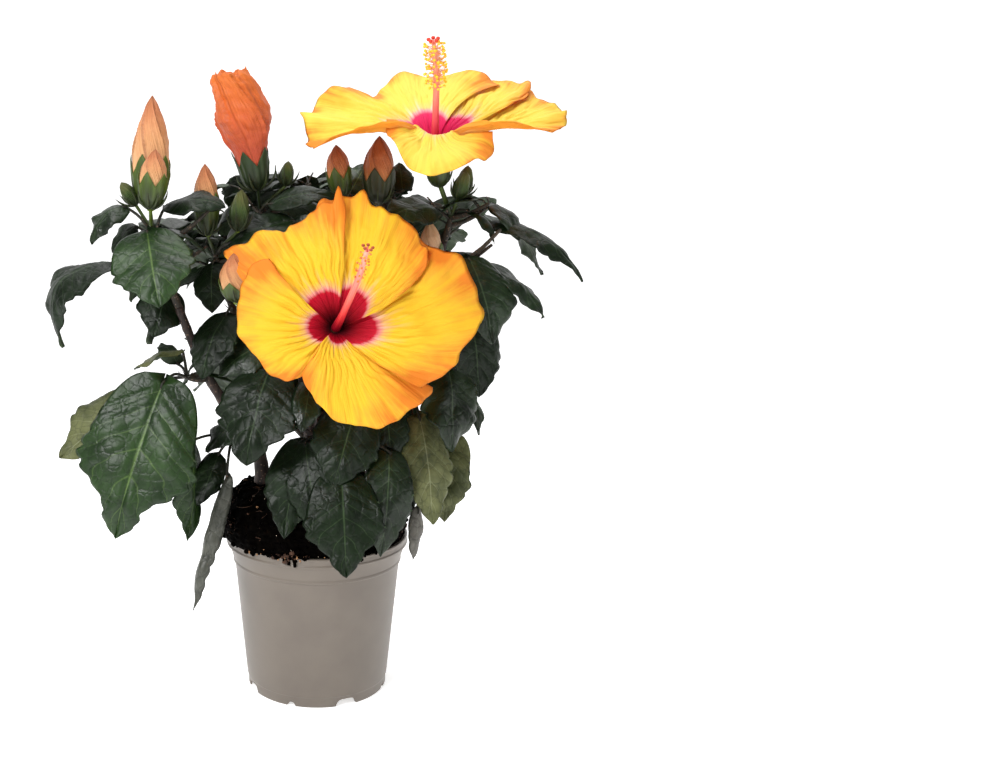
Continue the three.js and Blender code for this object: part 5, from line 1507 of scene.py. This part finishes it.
def column_forms(bloom, random):
    """The column as one tube, then each stamen as a hair with a grain, then the pads on their arms."""
    column_slot, hair_slot, grain_slot, pad_slot = range(4)
    path = np.array([*bloom["column"][:-1], bloom["column_end"]], float)
    path[0] += bloom["throat_shift"]
    forms = [limb_tube(path, [3.2, 2.2, 2.0, 1.4], 1, 16, column_slot)]
    count, lowest = bloom["stamens"], bloom["stamens_from"]
    for k in range(count):
        share = lowest + (stamens_to - lowest) * (k + 0.5) / count
        point, ahead, out = on_column(path, share, np.radians(golden_angle * k) + random.normal(0, 0.2))
        reach = bloom["stamen_reach"] * random.uniform(0.7, 1.15)
        end = point + out * reach + ahead * reach * random.uniform(0.1, 0.6)
        bent = point + out * reach * 0.6 + ahead
        forms.append(limb_tube([point, bent, end], [0.3, 0.24, 0.2], 2, 4, hair_slot))
        turned = tumbled(random, np.array([bloom["grain"]]), 0.8)
        forms.append(copies(lump(), end[None], turned, grain_slot))
    for k in range(pad_count):
        point, ahead, out = on_column(path, 0.985, 2 * np.pi * k / pad_count + 0.4)
        bent, end = point + out * 1.2 + ahead * 1.6, point + out * 3.2 + ahead * 3.0
        forms.append(limb_tube([point, bent, end], [0.8, 0.6, 0.6], 1, 7, column_slot))
        size = bloom["pad"] * np.eye(3)[None]
        forms.append(copies(lump(7, 12), (end + ahead * 0.5)[None], size, pad_slot, 0.06, k))
    return forms


print([bloom["stamens"] for bloom in blooms.values()], "stamens")


# %% Make the columns
def along_skin(name, stops, roughness, streaks=(2, 24), depth=0.3):
    """A colour ramp on the share along a tube, moved by streaks that run with it: so many
    changes along the tube, and so many round it."""
    material, tree = start_material(name, stops[0][1], roughness)
    uv = add(tree, "UVMap", uv_map="along_and_across")
    along = add(tree, "SeparateXYZ", (uv,), out="X")
    drawn = add(tree, "Mapping", {"Vector": uv, "Scale": (*streaks, 1)})
    noise = add(tree, "TexNoise", {"Vector": drawn, "Scale": 1.0, "Detail": 4})
    wide = add(tree, "Math", (noise, 0.7, -0.35), operation="MULTIPLY_ADD")
    moved = add(tree, "Math", (wide, along), operation="ADD")
    tone = add(tree, "ValToRGB", (moved,), stops)
    bump = add(tree, "Bump", {"Height": noise, "Strength": 0.5, "Distance": depth * MM})
    return finish_material(material, Base_Color=tone, Normal=bump)


# The column is waxy and half clear, red where it leaves the throat, the grains are dry pollen, and
# the pads have a short dull velvet: a small bright thing against the dark of the throat.
front_column = [(0.1, "#a00420"), (0.3, "#dc2c34"), (0.55, "#f0766a"), (1, "#f8ae96")]
top_column = [(0.05, "#c80c3c"), (0.3, "#e64c58"), (0.55, "#f08672"), (1, "#f4a884")]
hair_skin = along_skin("stamen hair", [(0, "#f4a08a"), (1, "#f8c8a0")], 0.5)
column_skins = {
    "bloom_front": [
        along_skin("column, red to salmon", front_column, 0.5), hair_skin,
        along_skin("stamen grain, orange-red", [(0, "#d8642c"), (1, "#f0b040")], 0.7),
        along_skin("velvet pad, red-brown", [(0, "#7c2c14"), (1, "#c86434")], 0.8),
    ],
    "bloom_top": [
        along_skin("column, crimson to pink", top_column, 0.5), hair_skin,
        along_skin("stamen grain, yellow", [(0, "#f0b81c"), (1, "#ffd640")], 0.7),
        along_skin("velvet pad, red", [(0, "#c8281c"), (1, "#e8503a")], 0.8),
    ],
}
for number, (name, bloom) in enumerate(blooms.items()):
    form = joined(column_forms(bloom, np.random.default_rng(60 + number)))
    piece(name.replace("bloom", "column"), form, column_skins[name], bloom["slot"], [name])

# %% [markdown]
# ## Calyx, bracts and buds
#
# A bud is furled petals in a green cup. The cup is a thin shell whose upper edge is five pointed
# teeth: the height of the shell at each turn is a triangle wave with five peaks. Below it stand
# seven narrow curved bracts. The furled petals are wound round each other, so round the bud the
# radius is a saw-tooth with five steps that climbs as it goes up, which makes the spiral seams.

# %% Cups and bracts
sepal_count, seam_count, bract_count, bud_wind = 5, 5, 7, 1.1
sepal_notch, sepal_gap, sepal_thick = 0.6, 0.7, 0.45
# A bud whose cup reaches higher than this share is still closed, and green all over.
closed_from = 0.7
# A bract's path: how far out in widths of the cup, how far out as it opens, and how far up.
bract_steps = [(0.15, 0, 0), (0.35, 0.45, 0.25), (0.42, 0.85, 0.62), (0.42, 1.1, 1)]


def bud_frame(base, tip):
    """The bud's length and three square ways: two across it and one along it."""
    base, tip = np.array(base, float), np.array(tip, float)
    along = unit(tip - base)
    side = unit(np.cross([0.0, 1.0, 0.2], along))
    return np.linalg.norm(tip - base), side, np.cross(along, side), along


def around(base, frame, share, radius, turn):
    """base + length x share x along + radius x (cos turn x side + sin turn x other)."""
    length, side, other, along = frame
    across = np.cos(turn)[..., None] * side + np.sin(turn)[..., None] * other
    return np.array(base, float) + (length * share)[..., None] * along + radius[..., None] * across


def girth_curve(rows):
    """A smooth girth over the share along the bud, through the given rows."""
    curve = spline(np.array(rows, float), np.linspace(0, 1, 80))
    return lambda share: np.interp(share, curve[:, 0], curve[:, 1])


def cup(base, tip, wide, reach, girth, flare=0.6):
    """A shell up its outside and down its inside; its height at a turn is reach x (notch +
    (1 - notch) x triangle), its radius the girth there, a keel on each tooth, and a little flare."""
    u, turn = grid(np.linspace(0.02, 1, 18), turns(80))
    triangle = 1 - np.abs(2 * ((sepal_count * turn / (2 * np.pi)) % 1) - 1)
    share = u * reach * (sepal_notch + (1 - sepal_notch) * triangle)
    keel = 0.035 * wide * (triangle**3 - 0.3) + 0.01 * wide * np.cos(3 * sepal_count * turn)
    stands_off = sepal_gap * np.clip(u * 3, 0.2, 1) + flare * u**6 + keel * np.clip(2 * u, 0, 1)
    radius = girth(share) * wide / 2 + stands_off
    frame = bud_frame(base, tip)
    outer, inner = (around(base, frame, share, radius - inset, turn) for inset in (0, sepal_thick))
    return closed_rings(np.concatenate([outer, inner[::-1]]), 1)


def bracts(base, tip, wide, reach, random, spread):
    """Narrow dark spikes that bend out from under the cup and up beside it."""
    _, side, other, along = bud_frame(base, tip)
    base, made = np.array(base, float), []
    for k in range(bract_count):
        turn = 2 * np.pi * (k + random.uniform(-0.15, 0.15)) / bract_count
        out = np.cos(turn) * side + np.sin(turn) * other
        size, open_out = reach * random.uniform(0.8, 1.2), spread * random.uniform(0.6, 1.4)
        path = [base + (wide * a + size * open_out * b) * out + size * c * along for a, b, c in bract_steps]
        made.append(limb_tube(path, [0.75, 0.85, 0.6, 0.12], 1.5, 6, 3))
    return made


print(sepal_count, "sepals and", bract_count, "bracts on each")


# %% Furled petals
def furled(bud, girth, random):
    """Radius girth x (1 + seam x (saw^1.5 - 0.4) + wrinkles), where the saw-tooth climbs with the
    turn; an open bud's mouth turns over its lip and winds inwards in folds."""
    open_mouth, closed = "mouth" in bud, bud["calyx"] > closed_from
    t, turn = grid(np.linspace(0, 1, 64), turns(96))
    foot = 0 if closed else 0.45 * bud["calyx"]
    share = foot + t * (1 - foot)
    free = np.clip(3 * share, 0, 1) if closed else np.clip((share / bud["calyx"] - 0.9) / 0.4, 0, 1)
    saw = (seam_count * turn / (2 * np.pi) + bud_wind * t) % 1
    spots = polar(5, turn, share * bud["wide"] * 1.2 + 2.5 * turn)
    crumple = rough(spots, 2.6, random.integers(999)) * 0.03 + np.abs(rough(spots, 4.5, 77)) * 0.05
    seam = 0.2 * (saw**1.5 - 0.4) * np.clip(t * 3, 0, 1)
    radius = girth(share) * bud["wide"] / 2 * (1 + (seam + crumple * (1.3 if open_mouth else 1)) * free)
    frame = bud_frame(bud["base"], bud["tip"])
    if not open_mouth:
        radius *= np.sqrt(np.clip(1 - np.clip((t - 0.9) / 0.1, 0, 1) ** 2, 0.02, 1))
        return closed_rings(around(bud["base"], frame, share, radius, turn), 2 if closed else 0)
    lip = 0.012 * np.sin(3 * turn + 2) + 0.012 * np.sin(7 * turn) + 0.008 * np.sin(13 * turn)
    rings = around(bud["base"], frame, share - 0.05 * t**4 + lip * t**8, radius, turn)
    inward = np.linspace(0, 1, 28)[1:, None] * np.ones(96)
    fold = 0.035 * np.sin(inward * 5 * np.pi) * (1 - 0.5 * inward)
    depth = share[-1] - 0.05 + lip[-1] + fold - 0.03 * inward
    inner = radius[-1] * (1 - 0.95 * inward) * (1 + 0.1 * np.sin(3 * turn[:27] + 9 * inward))
    rings = np.concatenate([rings, around(bud["base"], frame, depth, inner, turn[:27])])
    lean = np.concatenate([share, 1 + 0 * inward])[..., None] ** 4
    return closed_rings(rings + lean * np.array(bud["lean"], float), 0)


print("the", seam_count, "seams wind", round(360 * bud_wind / seam_count), "degrees up the bud")


# %% Bud materials
def bud_skin(name, base, middle, tip, seam):
    """A ramp along the bud, darker along the wound seams, with fine streaks that run with them."""
    material, tree = start_material(name, middle, 0.55)
    uv = add(tree, "UVMap", uv_map="along_and_across")
    place = add(tree, "TexCoord", out="Object")
    along, turn = (add(tree, "SeparateXYZ", (uv,), out=axis) for axis in "XY")
    climb = add(tree, "Math", (along, bud_wind), operation="MULTIPLY")
    wound = add(tree, "Math", (turn, float(seam_count), climb), operation="MULTIPLY_ADD")
    fraction = add(tree, "Math", (wound,), operation="FRACT")
    noise = add(tree, "TexNoise", {"Vector": place, "Scale": per(3), "Detail": 5})
    finer = add(tree, "Math", (wound, 9.0), operation="MULTIPLY")
    drawn = add(tree, "CombineXYZ", (finer, along))
    streak = add(tree, "TexNoise", {"Vector": drawn, "Scale": 1.3, "Detail": 4})
    moved = add(tree, "Math", (noise, 0.3, along), operation="MULTIPLY_ADD")
    tone = add(tree, "ValToRGB", (moved,), [(0.3, base), (0.65, middle), (1, tip)])
    dark = add(tree, "ValToRGB", (fraction,),
               [(0, "#bfbfbf"), (0.07, "#000000"), (0.9, "#000000"), (1, "#bfbfbf")])
    lines = add(tree, "ValToRGB", (streak,), [(0.4, "#6e6e6e"), (0.56, "#000000")])
    mask = add(tree, "Math", (dark, lines), operation="MAXIMUM")
    seamed = add(tree, "Mix", {0: mask, 6: tone, 7: linear(seam)}, out=2, data_type="RGBA")
    bump = add(tree, "Bump", {"Height": streak, "Strength": 0.9, "Distance": 1.8 * MM})
    return finish_material(material, Base_Color=seamed, Normal=bump)


# Sepals are ribbed lengthwise, dark at the foot and yellow-green at the points.
sepal_skin, dark_sepal_skin, dusky_sepal_skin = (
    along_skin(name, stops, 0.45, (1.5, 16), 0.4) for name, stops in (
        ("sepal, green", [(0.0, "#182007"), (0.35, "#38490c"), (0.7, "#566c16"), (1, "#7c8c30")]),
        ("sepal, olive", [(0.0, "#0e1a04"), (0.5, "#203606"), (1, "#3c4c10")]),
        ("sepal, brown-green", [(0.0, "#141806"), (0.5, "#2e340c"), (1, "#54481c")]),
    )
)
# Bracts are thin and dry to brown at their points, so they draw a fine dark fringe under the cup.
bract_skin = along_skin("bract, dark green", [(0.0, "#1e260c"), (0.6, "#303c16"), (1, "#2e2a1c")], 0.5)
# The colour of the furled petals tells how far a bud is: green while it is closed, then peach or
# russet with dark wound seams, and a strong orange once it opens.
peach = bud_skin("furled petals, peach", "#dcaa78", "#d89a66", "#c87a4c", "#8a4a2a")
orange = bud_skin("furled petals, orange", "#c04c2c", "#cc5e18", "#dc7424", "#983a0e")
russet = bud_skin("furled petals, russet", "#d08c54", "#c67444", "#b05c34", "#743a1e")
green_bud = bud_skin("furled petals, green", "#26360e", "#3a5016", "#5c602a", "#1a240a")
# Painted light: a paler copy of the peach, so the bud behind the top bloom looks lit though it stands in that
# bloom's shade.
pale = bud_skin("furled petals, pale peach with painted light", "#eccaa4", "#e6be94", "#dcae80", "#a87048")
plain_skins = [peach, sepal_skin, green_bud, bract_skin]
# The furled petals and the cup of the buds that aren't peach in a green cup.
own_skins = {
    "bud_opening": [orange, dark_sepal_skin], "bud_behind": [pale, sepal_skin],
    "bud_red": [russet, sepal_skin], "bud_dark": [russet, dusky_sepal_skin],
    "bud_green": [green_bud, sepal_skin],
}

# %% Make the buds
egg_profile = [(0, 0.35), (0.1, 0.75), (0.32, 1.05), (0.58, 0.96), (0.84, 0.6), (1, 0.1)]
cup_girths = [(0, 0.3), (0.12, 0.56), (0.34, 0.86), (0.7, 1.0)]

# The opening bud is broad to its crumpled mouth, which leans left of its solid's axis, and the
# green one is stouter than its solid.
buds["bud_opening"].update(
    mouth=[(0.06, 0.94), (0.42, 1.38), (0.72, 1.16), (1, 0.96)], lean=[-4.5, 0, 0], slim=0.8)
buds["bud_green"].update(base=[-54, -8, 328], tip=[-51, -8, 356], wide=12)


def bud_form(bud, random):
    """Furled petals, stalk, cup and bracts of one bud; a closed one is a whole egg with no cup."""
    closed, slim = bud["calyx"] > closed_from, bud.get("slim", 1)
    rows = girth_rows(bud, [(s, girth * slim) for s, girth in cup_girths], bud.get("mouth", furled_profile))
    girth = girth_curve(egg_profile if closed else rows)
    base, tip = np.array(bud["base"], float), np.array(bud["tip"], float)
    stalk = [bud["root"], *bud.get("via", []), base]
    sink = base + 0.03 * (tip - base)
    forms = [furled(bud, girth, random)]
    forms.append(limb_tube([*stalk, sink], [1.1] * len(stalk) + [bud["wide"] * 0.2], 1.5, 8, 1))
    if not closed:
        forms.append(cup(base, tip, bud["wide"], bud["calyx"] * 1.1, girth))
    reach, spread = (11, 0.45) if closed else (6 + bud["wide"] * 0.3, 0.3)
    return joined(forms + bracts(base, tip, bud["wide"] * 0.8, reach, random, spread))


for number, (name, bud) in enumerate(buds.items()):
    form = bud_form(bud, np.random.default_rng(80 + number))
    slot = "sepal_green" if name == "bud_green" else "bud_petal"
    skins = own_skins.get(name, plain_skins[:2]) + plain_skins[2:]
    piece(name.replace("bud", "furled_bud"), form, skins, slot, [name])

small_buds = [bud for mass in masses.values() for bud in mass.get("buds", [])]
small_form = joined([bud_form(bud, np.random.default_rng(95 + k)) for k, bud in enumerate(small_buds)])
piece("small_green_buds", small_form, plain_skins, "foliage", list(masses))

# %% Make the cups of the open blooms
bloom_girth = girth_curve([(0, 0.25), (0.15, 0.75), (0.4, 0.95), (0.75, 1.1), (1.2, 1.5)])
for number, (name, bloom) in enumerate(blooms.items()):
    base, *_, tip = np.array(bloom["calyx"], float)
    random = np.random.default_rng(120 + number)
    forms = [cup(base, tip, 16, 1.0, bloom_girth, 1.5), *bracts(base, tip, 10, 13, random, 0.35)]
    sink = 0.9 * base + 0.1 * tip
    forms.append(limb_tube([bloom["root"], base, sink], [1.9, 1.7, 2.6], 1.5, 10, 1))
    piece(name.replace("bloom", "calyx"), joined(forms), plain_skins, bloom["slot"], [name])
